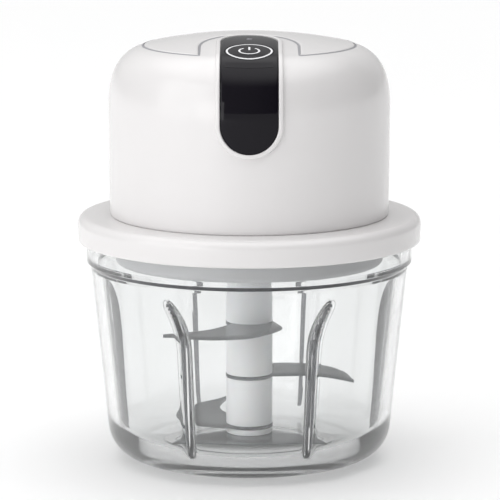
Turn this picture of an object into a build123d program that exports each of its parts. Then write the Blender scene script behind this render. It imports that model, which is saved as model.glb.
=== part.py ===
from build123d import *
import os
from math import acos, atan, cos, pi, radians, sin, tan

# Cordless mini food processor: a clear ribbed bowl, a lift-off power head with its motor and planetary
# gearbox, and a stack of blades on a pin in the bowl.  Millimetres, +Z up, origin at the centre of the foot
# on the table, -Y is the side with the control panel.

# ---------------------------------------------------------------- driving dimensions: bowl
foot_r = 23.7
foot_recess_r = 20.2
foot_recess_z = 0.8
knee_r = 37.6
knee_z = 2.3
knee_fillet = 11.0
step_r = 42.75
step_z = 53.4
band_r = 43.8
band_z = 54.6
rim_z = 64.5
wall = 2.8
floor_z = 4.8
boss_r = 3.5
boss_z = 9.0
pin_r = 2.0
pin_bottom = 2.4
pin_top = 30.0
rib_angles = (64.5, 115.5, 180.0, 244.5, 295.5, 0.0)
rib_width = 2.2
rib_side_outline = ((28.0, 3.8), (30.0, 3.6), (34.6, 8.5), (36.9, 14.0), (40.9, 49.6), (39.6, 49.2))
rib_crest_curve = ((39.6, 49.2), (36.6, 44.5), (34.9, 38.0), (33.8, 18.0), (32.6, 9.4), (28.0, 3.8))

# ---------------------------------------------------------------- driving dimensions: power head
collar_r = 46.3
collar_bottom = 60.0
collar_top = 67.1
collar_ceiling = 64.9
plug_r = 36.1
plug_bottom = 54.4
plug_top = 64.8
plug_inner_r = 33.0
plug_floor = 56.6
plug_sleeve_r = 9.6
plug_sleeve_top = 63.9
well_r = 7.4
well_top = 61.0
bush_r = 4.6
groove_bottom = 60.2
groove_top = 63.2
groove_depth = 1.4
gasket_lip_r = 40.7
housing_r = 37.5
shoulder_r = 37.95
shoulder_z = 111.2
shoulder_fillet = 10.7
disc_r = 28.5
disc_z = 112.55
dome_z = 115.6
shell = 2.2
ledge_depth = 1.6
ledge_in_r = 26.6
ledge_out_r = 30.5
cover_seam = 0.35
cover_sunk = 0.12
above_head = 120
below_disc = 105
notch_half = 13.0
notch_y = -16.0
panel_half = 7.5
bezel_half = 8.6
panel_low_z = 95.8
panel_rear_y = -15.0
panel_proud = 0.6
bezel_proud = 0.8
pocket_depth = 1.0
button_y = -25.0
button_tilt = 15.0
button_r = 6.4
button_gap = 0.15
light_y = -13.0
light_r = 0.8
light_length = 10
button_thick = 2.4
plunger_r = 1.6
switch_size = 6.0
switch_height = 3.4
switch_base = -9.0
board_thick = 1.4

# ---------------------------------------------------------------- driving dimensions: drive
module = 0.6
sun_teeth = 12
planet_teeth = 15
ring_teeth = 42
gear_play = 0.05
centre_distance = module * (sun_teeth + planet_teeth) / 2
gear_r = 16.4
gear_floor = 66.4
teeth_bottom = 69.2
teeth_top = 75.2
gear_top = 76.0
motor_bottom = 78.4
motor_top = 109.2
motor_r = 12.2
shaft_r = 1.0
output_r = 2.5
carrier_z = 67.0
carrier_r = 11.4
carrier_thick = 1.9
planet_pin_r = 1.0
output_bottom = 50.4
coupling_height = 7.2
gearcase_bottom = 63.95
gearcase_bore = 13.5
screw_circle = 14.8
screw_r = 0.9
screw_length = 4.0
screw_head_r = 1.5
screw_head = 1.2
can_wall = 1.0
magnet_in_r = 9.3
bell_thick = 1.8
armature_bottom = 84.5
armature_length = 17
armature_r = 8.7
coil_bottom = 82.6
coil_length = 20.8
commutator_r = 2.9

# ---------------------------------------------------------------- driving dimensions: blades
hub_r = 6.28
core_r = 4.9
core_bottom = 5.6
hub_top = 58.0
socket_flats = 8.7
dog_flats = 8.4
blade_t = 0.9
blade_levels = {"blade_top": 36.95, "blade_middle": 22.45, "blade_lower": 8.65, "blade_bottom": 6.15}
blade_turns = {"blade_top": -120.0, "blade_middle": 0.0, "blade_lower": 120.0}
sickle_edge = ((2.0, 11.8), (8.0, 14.3), (14.5, 14.3), (20.3, 12.0), (26.2, 4.0), (28.0, -8.5))
sickle_hollow = ((28.0, -8.5), (20.0, -0.9), (6.0, -1.2))
sickle_root = ((6.0, -1.2), (0, -1.2), (-4.3, 4.5), (2.0, 11.8))
wing_back = ((0, 6.9), (7.0, 3.0), (12.0, 0), (16.5, -4.5), (19.0, -11.0), (20.6, -20.5))
wing_front = ((20.6, -20.5), (12.0, -17.0), (0, -18.5))
bush_wall_r = 2.6
socket_bottom = 49.8
core_top = 40.0
hub_collar_r = 7.1

# ---------------------------------------------------------------- driving dimensions: charging port
port_z = 74.0
port_floor_y = 36.2
flap_half = 6.9
flap_bottom = 70.35
flap_top = 78.1
flap_inner_y = 36.3
socket_width = 8.94
socket_height = 3.26
socket_back_y = 29.0
socket_length = 7.0
socket_wall = 0.3
charge_board_y = 28.4

# ---------------------------------------------------------------- driving dimensions: battery
battery_x = -25.8
battery_r = 9.0
battery_bottom = 69.2
battery_top = 103.5
lead_r = 0.55
lead_bend = 1.5

shoulder_slope = atan((disc_z - shoulder_z) / (shoulder_r - disc_r))

os.makedirs("parts", exist_ok=True)


def save(piece, label):
    """Label a finished piece and write it as one STEP file."""
    piece.label = label
    export_step(piece, f"parts/{label}.step")


def ring(r_in, r_out, z_low, z_high):
    """A plain ring (or a disc, where r_in is 0) about the Z axis."""
    with BuildPart() as body:
        with BuildSketch(Plane.XY.offset(z_low)):
            Circle(r_out)
            if r_in > 0:
                Circle(r_in, mode=Mode.SUBTRACT)
        extrude(amount=z_high - z_low)
    return body.part


def turned(points, radii):
    """A solid of revolution about Z from a closed (r, z) outline with rounded corners."""
    with BuildPart() as body:
        with BuildSketch(Plane.XZ):
            with BuildLine():
                FilletPolyline(*points, radius=radii, close=True)
            make_face()
        revolve(axis=Axis.Z)
    return body.part


def head_solid(growth, bottom=collar_top):
    """The power head's outer form, grown (or shrunk, if negative) by a distance along its surface."""
    with BuildPart() as body:
        with BuildSketch(Plane.XZ):
            with BuildLine():
                top = (0, dome_z + growth)
                edge_r = disc_r + growth * sin(shoulder_slope)
                edge_z = disc_z + growth * cos(shoulder_slope)
                corner_r = shoulder_r + growth
                corner_z = edge_z - tan(shoulder_slope) * (corner_r - edge_r)
                middle = (edge_r / 2, top[1] - (top[1] - edge_z) / 4)
                ThreePointArc(top, middle, (edge_r, edge_z))
                FilletPolyline(
                    (edge_r, edge_z),
                    (corner_r, corner_z),
                    (housing_r + growth, bottom),
                    radius=shoulder_fillet + growth,
                )
                Polyline((housing_r + growth, bottom), (0, bottom), top)
            make_face()
        revolve(axis=Axis.Z)
    return body.part


def front_prism(half, low_z, rear_y):
    """A stadium-ended band: it runs down the front to a half round, and back over the top to another."""
    with BuildPart() as body:
        with BuildSketch(Plane.XZ):
            with Locations((0, low_z + 40)):
                Rectangle(2 * half, 80)
            with Locations((0, low_z)):
                Circle(half)
        extrude(amount=60)
        with BuildSketch(Plane.XY.offset(60)):
            with Locations((0, rear_y - 40)):
                Rectangle(2 * half, 80)
            with Locations((0, rear_y)):
                Circle(half)
        extrude(amount=80, mode=Mode.INTERSECT)
    return body.part


def notch_prism(half):
    """The U-shaped island at the front of the top cover."""
    with BuildPart() as body:
        with BuildSketch(Plane.XY.offset(100)):
            with Locations((0, notch_y - 20)):
                Rectangle(2 * half, 40)
            with Locations((0, notch_y)):
                Circle(half)
        extrude(amount=30)
    return body.part


def gear_outline(teeth, addendum, dedendum, play):
    """Points of an involute gear; play is taken off each flank (negative widens the teeth)."""
    pitch_r = module * teeth / 2
    base_r = pitch_r * cos(radians(20))
    tip_r = pitch_r + addendum
    root_r = pitch_r - dedendum
    low_r = max(root_r, base_r)

    def half_angle(r):
        """Half of the tooth's angle at radius r."""
        pressure = acos(min(1.0, base_r / r))
        involute = tan(pressure) - pressure
        return pi / (2 * teeth) + tan(radians(20)) - radians(20) - involute - play / pitch_r

    flank = [low_r + (tip_r - low_r) * k / 4 for k in range(5)]
    points = []
    for tooth in range(teeth):
        centre = 2 * pi * tooth / teeth
        rising = [(r, centre - half_angle(r)) for r in flank]
        falling = [(r, centre + half_angle(r)) for r in reversed(flank)]
        if root_r < low_r:
            rising.insert(0, (root_r, centre - half_angle(low_r)))
            falling.append((root_r, centre + half_angle(low_r)))
        points += [(r * cos(a), r * sin(a)) for r, a in rising + falling]
    return points


def gear(teeth, bore_r, z_low, z_high):
    """A spur gear with short teeth and a plain bore."""
    with BuildPart() as body:
        with BuildSketch(Plane.XY.offset(z_low)):
            with BuildLine():
                Polyline(*gear_outline(teeth, 0.7 * module, 1.0 * module, gear_play), close=True)
            make_face()
            Circle(bore_r, mode=Mode.SUBTRACT)
        extrude(amount=z_high - z_low)
    return body.part


# ---------------------------------------------------------------- bowl
inner_slope = (step_r - knee_r) / (step_z - knee_z)
with BuildPart() as bowl:
    with BuildSketch(Plane.XZ):
        with BuildLine():
            FilletPolyline(
                (0, foot_recess_z),
                (foot_recess_r, foot_recess_z),
                (foot_recess_r, 0),
                (foot_r, 0),
                (knee_r, knee_z),
                (step_r, step_z),
                (band_r, band_z),
                (band_r, rim_z),
                (band_r - wall, rim_z),
                (band_r - wall, band_z + 1.0),
                (step_r - wall, step_z - 1.0),
                (knee_r - wall + inner_slope * (floor_z - knee_z), floor_z),
                (boss_r, floor_z),
                (boss_r, boss_z),
                (pin_r, boss_z),
                (pin_r, pin_bottom),
                (0, pin_bottom),
                radius=[0, 0.3, 0.3, 0.8, knee_fillet, 0.4, 0.4, 0.8, 0.8, 0.6, 0.6, 8.5, 1.0, 0.3, 0, 0, 0],
                close=True,
            )
        make_face()
    revolve(axis=Axis.Z)
    for angle in rib_angles:
        with BuildSketch(Plane.XZ.rotated((0, 0, angle))) as rib_side:
            with BuildLine():
                Polyline(*rib_side_outline)
                Spline(*rib_crest_curve)
            make_face()
        extrude(amount=rib_width / 2, both=True)
save(bowl.part, "bowl")

save(ring(0, pin_r, pin_bottom, pin_top), "bowl_pin")

# ---------------------------------------------------------------- lid collar, plug and gasket
save(
    turned(
        [
            (44.3, collar_bottom),
            (46.05, collar_bottom),
            (collar_r, collar_top - 0.05),
            (housing_r - 0.2, collar_top),
            (30.0, collar_top),
            (30.0, collar_ceiling),
            (44.3, collar_ceiling),
        ],
        [0.3, 0.5, 2.2, 0, 0.3, 0.3, 0.8],
    ),
    "lid_collar",
)

save(
    turned(
        [
            (well_r, plug_bottom),
            (plug_r, plug_bottom),
            (plug_r, groove_bottom),
            (plug_r - groove_depth, groove_bottom),
            (plug_r - groove_depth, groove_top),
            (plug_r, groove_top),
            (plug_r, plug_top),
            (plug_inner_r, plug_top),
            (plug_inner_r, plug_floor),
            (plug_sleeve_r, plug_floor),
            (plug_sleeve_r, plug_sleeve_top),
            (bush_r, plug_sleeve_top),
            (bush_r, well_top),
            (well_r, well_top),
        ],
        [0.6, 1.4, 0, 0, 0, 0, 0.3, 0, 1.0, 1.0, 0.5, 0, 0, 0],
    ),
    "head_base",
)
save(
    turned(
        [
            (plug_r - groove_depth, groove_bottom),
            (plug_r + 0.4, groove_bottom + 0.2),
            (gasket_lip_r, groove_bottom + 0.9),
            (gasket_lip_r, groove_bottom + 1.7),
            (plug_r + 0.4, groove_top - 0.9),
            (plug_r - groove_depth, groove_top),
        ],
        [0, 0.3, 0.3, 0.3, 0.3, 0],
    ),
    "lid_gasket",
)
save(ring(output_r + 0.06, well_r - 0.1, well_top - 1.1, well_top - 0.05), "shaft_seal")
save(ring(output_r + 0.03, bush_r, well_top, 66.6), "output_bush")

# ---------------------------------------------------------------- motor housing and top cover
outer_form = head_solid(0)
inner_form = head_solid(-shell, collar_top - 1)
ledge_form = head_solid(-shell - ledge_depth, collar_top - 1)
pocket_form = head_solid(-pocket_depth, collar_top - 1)
button_plane = Plane(
    origin=(0, button_y, dome_z + panel_proud - 2.3),
    x_dir=(1, 0, 0),
    z_dir=(0, -sin(radians(button_tilt)), cos(radians(button_tilt))),
)


def button_cylinder(radius, low, high):
    """A cylinder on the button's own axis, from low to high along it."""
    with BuildPart() as body:
        with BuildSketch(button_plane.offset(low)):
            Circle(radius)
        extrude(amount=high - low)
    return body.part


with BuildPart() as cover_opening:
    add(outer_form)
    add(inner_form, mode=Mode.SUBTRACT)
    add(ring(0, disc_r, below_disc, above_head), mode=Mode.INTERSECT)
    add(notch_prism(notch_half), mode=Mode.SUBTRACT)

with BuildPart() as panel_pocket:
    add(outer_form)
    add(pocket_form, mode=Mode.SUBTRACT)
    add(front_prism(bezel_half, panel_low_z, panel_rear_y), mode=Mode.INTERSECT)

with BuildPart() as motor_housing:
    add(outer_form)
    add(inner_form, mode=Mode.SUBTRACT)
    add(cover_opening.part, mode=Mode.SUBTRACT)
    with BuildPart(mode=Mode.PRIVATE) as ledge:
        add(inner_form)
        add(ledge_form, mode=Mode.SUBTRACT)
        add(ring(ledge_in_r, ledge_out_r, below_disc, above_head), mode=Mode.INTERSECT)
    add(ledge.part)
    add(panel_pocket.part, mode=Mode.SUBTRACT)
    add(button_cylinder(button_r + 0.5, -14, 6), mode=Mode.SUBTRACT)
    with Locations((0, light_y, 110)):
        Cylinder(light_r + 0.3, 14, mode=Mode.SUBTRACT)
    with BuildSketch(Plane.XZ.offset(-port_floor_y)):
        with Locations((0, (flap_bottom + flap_top) / 2)):
            Rectangle(2 * flap_half + 0.6, flap_top - flap_bottom + 0.7)
    extrude(amount=-4, mode=Mode.SUBTRACT)
    with BuildSketch(Plane.XZ.offset(-port_floor_y + 3)):
        with Locations((0, port_z)):
            RectangleRounded(9.4, 3.7, 1.6)
    extrude(amount=-8, mode=Mode.SUBTRACT)
save(motor_housing.part, "motor_housing")

with BuildPart() as top_cover:
    add(head_solid(-cover_sunk))
    add(head_solid(-shell + 0.05, collar_top - 1), mode=Mode.SUBTRACT)
    add(ring(0, disc_r - cover_seam, below_disc, above_head), mode=Mode.INTERSECT)
    add(notch_prism(notch_half + cover_seam), mode=Mode.SUBTRACT)
save(top_cover.part, "top_cover")

# ---------------------------------------------------------------- control panel
lens_prism = front_prism(panel_half, panel_low_z, panel_rear_y)
with BuildPart() as panel_bezel:
    add(head_solid(bezel_proud))
    add(pocket_form, mode=Mode.SUBTRACT)
    add(front_prism(bezel_half, panel_low_z, panel_rear_y), mode=Mode.INTERSECT)
    add(lens_prism, mode=Mode.SUBTRACT)
save(panel_bezel.part, "panel_bezel")

with BuildPart() as panel_lens:
    add(head_solid(panel_proud))
    add(pocket_form, mode=Mode.SUBTRACT)
    add(lens_prism, mode=Mode.INTERSECT)
    add(button_cylinder(button_r + button_gap, -14, 6), mode=Mode.SUBTRACT)
    with Locations((0, light_y, 112)):
        Cylinder(light_r + 0.05, 14, mode=Mode.SUBTRACT)
save(panel_lens.part, "panel_lens")

with BuildPart() as status_light:
    with Locations((0, light_y, 112.5)):
        Cylinder(light_r, light_length)
    add(head_solid(panel_proud), mode=Mode.INTERSECT)
save(status_light.part, "status_light")

with BuildPart() as start_button:
    add(head_solid(panel_proud))
    add(head_solid(panel_proud - button_thick, collar_top - 1), mode=Mode.SUBTRACT)
    add(button_cylinder(button_r, -14, 6), mode=Mode.INTERSECT)
    add(button_cylinder(plunger_r, -4.6, -1.2))
save(start_button.part, "start_button")

with BuildPart() as tact_switch:
    with BuildSketch(button_plane.offset(switch_base)):
        Rectangle(switch_size, switch_size)
    extrude(amount=switch_height)
save(tact_switch.part, "tact_switch")

with BuildPart() as control_board:
    with BuildSketch(button_plane.offset(switch_base - board_thick)):
        with Locations((0, -0.5)):
            Rectangle(16, 13)
    extrude(amount=board_thick)
save(control_board.part, "control_board")

# ---------------------------------------------------------------- gearbox
with BuildPart() as gear_ring:
    with BuildSketch(Plane.XY.offset(gearcase_bottom)):
        Circle(gear_r)
        Circle(bush_r, mode=Mode.SUBTRACT)
    extrude(amount=gear_floor - gearcase_bottom)
    with BuildSketch(Plane.XY.offset(gear_floor)):
        Circle(gear_r)
        Circle(gearcase_bore, mode=Mode.SUBTRACT)
    extrude(amount=teeth_bottom - gear_floor)
    with BuildSketch(Plane.XY.offset(teeth_bottom)):
        Circle(gear_r)
        with BuildLine():
            ring_space = gear_outline(ring_teeth, 1.0 * module, 0.7 * module, -gear_play)
            Polyline(*ring_space, close=True)
        make_face(mode=Mode.SUBTRACT)
    extrude(amount=gear_top - teeth_bottom)
    with BuildSketch(Plane.XY.offset(gear_top - screw_length)):
        with PolarLocations(screw_circle, 3, start_angle=30):
            Circle(screw_r)
    extrude(amount=screw_length, mode=Mode.SUBTRACT)
save(gear_ring.part, "gear_ring")

with BuildPart() as gear_cover:
    with BuildSketch(Plane.XY.offset(gear_top)):
        Circle(gear_r)
        Circle(5.0, mode=Mode.SUBTRACT)
        with PolarLocations(screw_circle, 3, start_angle=30):
            Circle(screw_r + 0.1, mode=Mode.SUBTRACT)
    extrude(amount=motor_bottom - gear_top)
save(gear_cover.part, "gear_cover")

with BuildPart() as carrier:
    with BuildSketch(Plane.XY.offset(output_bottom)):
        Circle(output_r)
    extrude(amount=carrier_z - output_bottom)
    with BuildSketch(Plane.XY.offset(carrier_z)):
        Circle(carrier_r)
        with PolarLocations(centre_distance, 3):
            Circle(planet_pin_r, mode=Mode.SUBTRACT)
    extrude(amount=carrier_thick)
save(carrier.part, "carrier")

with BuildPart() as planet_pins:
    with BuildSketch(Plane.XY.offset(carrier_z)):
        with PolarLocations(centre_distance, 3):
            Circle(planet_pin_r)
    extrude(amount=teeth_top + 0.2 - carrier_z)
save(planet_pins.part, "planet_pins")

planet = gear(planet_teeth, planet_pin_r + 0.05, teeth_bottom + 0.1, teeth_top)
for index in range(3):
    angle = 120 * index
    place = Rot(0, 0, angle) * Pos(centre_distance, 0, 0)
    save(place * planet, f"planet_gear_{index + 1}")

with BuildPart() as drive_coupling:
    with BuildSketch(Plane.XY.offset(output_bottom)):
        RegularPolygon(dog_flats / 2, 6, major_radius=False)
        Circle(output_r, mode=Mode.SUBTRACT)
    extrude(amount=coupling_height)
save(drive_coupling.part, "drive_coupling")

# ---------------------------------------------------------------- motor
save(
    turned(
        [
            (3.0, motor_bottom),
            (motor_r, motor_bottom),
            (motor_r, motor_top - bell_thick),
            (motor_r - can_wall, motor_top - bell_thick),
            (motor_r - can_wall, motor_bottom + 1.2),
            (3.0, motor_bottom + 1.2),
        ],
        [0, 1.5, 0, 0, 0.5, 0],
    ),
    "motor_can",
)

with BuildPart() as motor_magnets:
    with BuildSketch(Plane.XY.offset(83)):
        Circle(motor_r - can_wall)
        Circle(magnet_in_r, mode=Mode.SUBTRACT)
        Rectangle(8, 30, mode=Mode.SUBTRACT)
    extrude(amount=19)
save(motor_magnets.part, "motor_magnets")

with BuildPart() as motor_bushes:
    add(ring(shaft_r + 0.03, 3.0, motor_bottom - 1.0, motor_bottom + 1.2))
    add(ring(shaft_r + 0.03, 2.6, motor_top - bell_thick, motor_top))
save(motor_bushes.part, "motor_bushes")

with BuildPart() as motor_end_bell:
    add(ring(2.6, motor_r, motor_top - bell_thick, motor_top))
    add(ring(magnet_in_r + 0.1, motor_r - can_wall, 104.4, motor_top - bell_thick))
save(motor_end_bell.part, "motor_end_bell")

with BuildPart() as motor_brushes:
    with BuildSketch(Plane.XY.offset(104.6)):
        with PolarLocations(5.95, 2):
            Rectangle(6.0, 2.4)
    extrude(amount=1.8)
save(motor_brushes.part, "motor_brushes")

with BuildPart() as motor_terminals:
    with BuildSketch(Plane.XY.offset(motor_top)):
        with PolarLocations(8.5, 2):
            Rectangle(0.6, 2.2)
    extrude(amount=2.2)
save(motor_terminals.part, "motor_terminals")

save(ring(0, shaft_r, teeth_bottom + 0.2, motor_top + 0.6), "motor_shaft")

with BuildPart() as armature_core:
    with BuildSketch(Plane.XY.offset(armature_bottom)):
        Circle(armature_r)
        Circle(7.2, mode=Mode.SUBTRACT)
        with PolarLocations(8.0, 3, start_angle=60):
            Rectangle(3.0, 2.2, mode=Mode.SUBTRACT)
        Circle(3.0)
        with PolarLocations(5.2, 3):
            Rectangle(4.8, 3.0)
        Circle(shaft_r, mode=Mode.SUBTRACT)
    extrude(amount=armature_length)
save(armature_core.part, "armature_core")

with BuildPart() as windings:
    with BuildSketch(Plane.XY.offset(coil_bottom)):
        with PolarLocations(4.7, 3):
            Rectangle(2.8, 7.2)
    extrude(amount=coil_length)
    with BuildSketch(Plane.XY.offset(armature_bottom)):
        with PolarLocations(4.7, 3):
            Rectangle(3.4, 3.0)
    extrude(amount=armature_length, mode=Mode.SUBTRACT)
save(windings.part, "windings")

save(ring(shaft_r, commutator_r, 103.8, 107.0), "commutator")
save(gear(sun_teeth, shaft_r, teeth_bottom + 0.2, teeth_top), "sun_pinion")

# ---------------------------------------------------------------- battery, charging and leads
with BuildPart() as battery_cell:
    with BuildSketch(Plane.XY.offset(battery_bottom)):
        with Locations((battery_x, 0)):
            Circle(battery_r)
    extrude(amount=battery_top - battery_bottom)
    with BuildSketch(Plane.XY.offset(battery_top)):
        with Locations((battery_x, 0)):
            Circle(3.0)
    extrude(amount=0.8)
save(battery_cell.part, "battery_cell")

with BuildPart() as battery_cradle:
    with BuildSketch(Plane.XY.offset(collar_top)):
        with Locations((battery_x, 0)):
            Circle(battery_r - 0.4)
    extrude(amount=battery_bottom - collar_top)
save(battery_cradle.part, "battery_cradle")

with BuildPart() as charge_board:
    with BuildSketch(Plane.XY.offset(collar_top)):
        with Locations((0, charge_board_y)):
            Rectangle(18, 1.2)
    extrude(amount=18)
save(charge_board.part, "charge_board")

with BuildPart() as charge_socket:
    with BuildSketch(Plane.XZ.offset(-socket_back_y)):
        with Locations((0, port_z)):
            RectangleRounded(socket_width, socket_height, 1.5)
    extrude(amount=-socket_length)
    with BuildSketch(Plane.XZ.offset(-socket_back_y - 1.5)):
        with Locations((0, port_z)):
            RectangleRounded(socket_width - 2 * socket_wall, socket_height - 2 * socket_wall, 1.25)
    extrude(amount=-5.5, mode=Mode.SUBTRACT)
    with BuildSketch(Plane.XZ.offset(-socket_back_y - 1.5)):
        with Locations((0, port_z)):
            Rectangle(6.6, 0.7)
    extrude(amount=-4.6)
save(charge_socket.part, "charge_socket")

with BuildPart() as port_cover:
    with BuildSketch(Plane.XZ.offset(-flap_inner_y)):
        with Locations((0, (flap_bottom + flap_top) / 2)):
            RectangleRounded(2 * flap_half, flap_top - flap_bottom, 1.0)
    extrude(amount=-3)
    add(head_solid(0.1), mode=Mode.INTERSECT)
save(port_cover.part, "port_cover")

with BuildPart() as leads:
    routes = (
        ((battery_x, -2.0, 104.4), (battery_x, -2.0, 108.2), (-6.0, -19.5, 109.8), (-6.0, -19.5, 106.6)),
        ((6.0, -19.5, 106.6), (6.0, -19.5, 110.5), (8.5, -1.4, 110.5)),
        ((-3.0, -19.5, 106.6), (-3.0, -19.5, 110.5), (-8.5, -1.4, 110.5)),
    )
    for route in routes:
        with BuildLine() as path:
            FilletPolyline(*route, radius=lead_bend)
        with BuildSketch(Plane(origin=path.line @ 0, z_dir=path.line % 0)):
            Circle(lead_r)
        sweep(path=path.line)
save(leads.part, "leads")

with BuildPart() as gear_screws:
    with BuildSketch(Plane.XY.offset(gear_top - screw_length)):
        with PolarLocations(screw_circle, 3, start_angle=30):
            Circle(screw_r)
    extrude(amount=screw_length + motor_bottom - gear_top)
    with BuildSketch(Plane.XY.offset(motor_bottom)):
        with PolarLocations(screw_circle, 3, start_angle=30):
            Circle(screw_head_r)
    extrude(amount=screw_head)
save(gear_screws.part, "gear_screws")

# ---------------------------------------------------------------- blade assembly
with BuildPart() as hub_core:
    with BuildSketch(Plane.XY.offset(core_bottom)):
        Circle(core_r)
    extrude(amount=core_top - core_bottom)
    with BuildSketch(Plane.XY.offset(blade_levels["blade_top"] + blade_t)):
        Circle(hub_r)
    extrude(amount=hub_top - blade_levels["blade_top"] - blade_t)
    with BuildSketch(Plane.XY.offset(core_bottom)):
        Circle(boss_r + 0.35)
    extrude(amount=boss_z + 0.1 - core_bottom, mode=Mode.SUBTRACT)
    with BuildSketch(Plane.XY.offset(core_bottom)):
        Circle(bush_wall_r)
    extrude(amount=pin_top + 1.0 - core_bottom, mode=Mode.SUBTRACT)
    with BuildSketch(Plane.XY.offset(socket_bottom)):
        RegularPolygon(socket_flats / 2, 6, major_radius=False)
    extrude(amount=20, mode=Mode.SUBTRACT)
save(hub_core.part, "hub_core")

with BuildPart() as hub_bushes:
    add(ring(pin_r + 0.04, bush_wall_r, boss_z + 0.3, 15.0))
    add(ring(pin_r + 0.04, bush_wall_r, 23.0, 29.5))
save(hub_bushes.part, "hub_bushes")

levels = blade_levels
save(ring(core_r, hub_collar_r, floor_z + 0.45, levels["blade_bottom"]), "hub_collar")
save(ring(core_r, hub_r, levels["blade_bottom"] + blade_t, levels["blade_lower"]), "hub_spacer_low")
save(ring(core_r, hub_r, levels["blade_lower"] + blade_t, levels["blade_middle"]), "hub_spacer_mid")
save(ring(core_r, hub_r, levels["blade_middle"] + blade_t, levels["blade_top"]), "hub_spacer_high")


def sickle(z_low, turn):
    """One sickle blade: a ring on the hub with a broad arm that sweeps out to a hooked tip."""
    with BuildPart() as body:
        with BuildSketch(Plane.XY.offset(z_low).rotated((0, 0, turn))):
            with BuildLine():
                Spline(*sickle_edge)
                ThreePointArc(*sickle_hollow)
                Polyline(*sickle_root)
            make_face()
            Circle(hub_r)
            Circle(core_r, mode=Mode.SUBTRACT)
        extrude(amount=blade_t)
    return body.part


for label, turn in blade_turns.items():
    save(sickle(levels[label], turn), label)

with BuildPart() as blade_bottom:
    with BuildSketch(Plane.XY.offset(levels["blade_bottom"])):
        with BuildLine():
            Spline(*wing_back)
            ThreePointArc(*wing_front)
            Line(wing_front[-1], wing_back[0])
        make_face()
        mirror(about=Plane.YZ)
        Circle(core_r, mode=Mode.SUBTRACT)
    extrude(amount=blade_t)
save(blade_bottom.part, "blade_bottom")
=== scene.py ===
import logging
import math
from dataclasses import dataclass, field
from enum import Enum

import bmesh
import bpy
import numpy as np
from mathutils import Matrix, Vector


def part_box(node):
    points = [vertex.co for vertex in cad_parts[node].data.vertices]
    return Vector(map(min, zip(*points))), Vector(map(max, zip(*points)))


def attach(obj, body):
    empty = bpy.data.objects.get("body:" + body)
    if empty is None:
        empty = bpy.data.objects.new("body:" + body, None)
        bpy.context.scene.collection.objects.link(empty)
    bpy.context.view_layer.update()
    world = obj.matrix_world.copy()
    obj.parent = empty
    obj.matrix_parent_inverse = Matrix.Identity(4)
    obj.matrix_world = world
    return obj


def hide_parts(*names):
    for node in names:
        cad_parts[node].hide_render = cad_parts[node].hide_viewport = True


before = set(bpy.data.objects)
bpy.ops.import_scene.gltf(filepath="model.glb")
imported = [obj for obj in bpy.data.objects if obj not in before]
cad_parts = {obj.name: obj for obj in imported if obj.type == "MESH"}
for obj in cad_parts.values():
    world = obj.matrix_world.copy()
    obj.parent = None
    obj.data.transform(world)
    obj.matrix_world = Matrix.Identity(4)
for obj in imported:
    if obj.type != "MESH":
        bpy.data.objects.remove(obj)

logging.basicConfig(level=logging.INFO, format="%(message)s")
LOG = logging.getLogger("mini_chopper")

MM = 0.001
TAU = 2.0 * math.pi
Array = np.ndarray


# ---------------------------------------------------------------------------------------------- colours
def srgb(code: str) -> tuple[float, float, float, float]:
    """Turn an sRGB hex colour into the linear colour that a shader wants.

    Args:
        code: A colour such as "#F2EFEE".

    Returns:
        Linear red, green and blue, and an alpha of one.
    """
    values = [int(code[i:i + 2], 16) / 255.0 for i in (1, 3, 5)]
    linear = [v / 12.92 if v <= 0.04045 else ((v + 0.055) / 1.055) ** 2.4 for v in values]
    return (*linear, 1.0)


# ---------------------------------------------------------------------------------------------- materials
def add_node(tree: bpy.types.NodeTree, kind: str, settings: dict | None = None,
             links: dict | None = None) -> bpy.types.Node:
    """Add a node, set its properties or inputs, and link its inputs.

    Args:
        tree: The node tree that gets the node.
        kind: The node's type name.
        settings: Property or input names, with the values that they get.
        links: Input names or numbers, with the output sockets that feed them.

    Returns:
        The new node.
    """
    node = tree.nodes.new(kind)
    for name, value in (settings or {}).items():
        if isinstance(name, int) or name in node.inputs.keys():
            node.inputs[name].default_value = value
        else:
            setattr(node, name, value)
    for name, output in (links or {}).items():
        tree.links.new(output, node.inputs[name])
    return node


class Grain(Enum):
    """How a finish's fine pattern runs."""

    EVEN = (1.0, 1.0, 1.0)
    ALONG_X = (0.04, 1.0, 1.0)
    ROUND_Z = (1.0, 1.0, 0.04)


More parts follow.
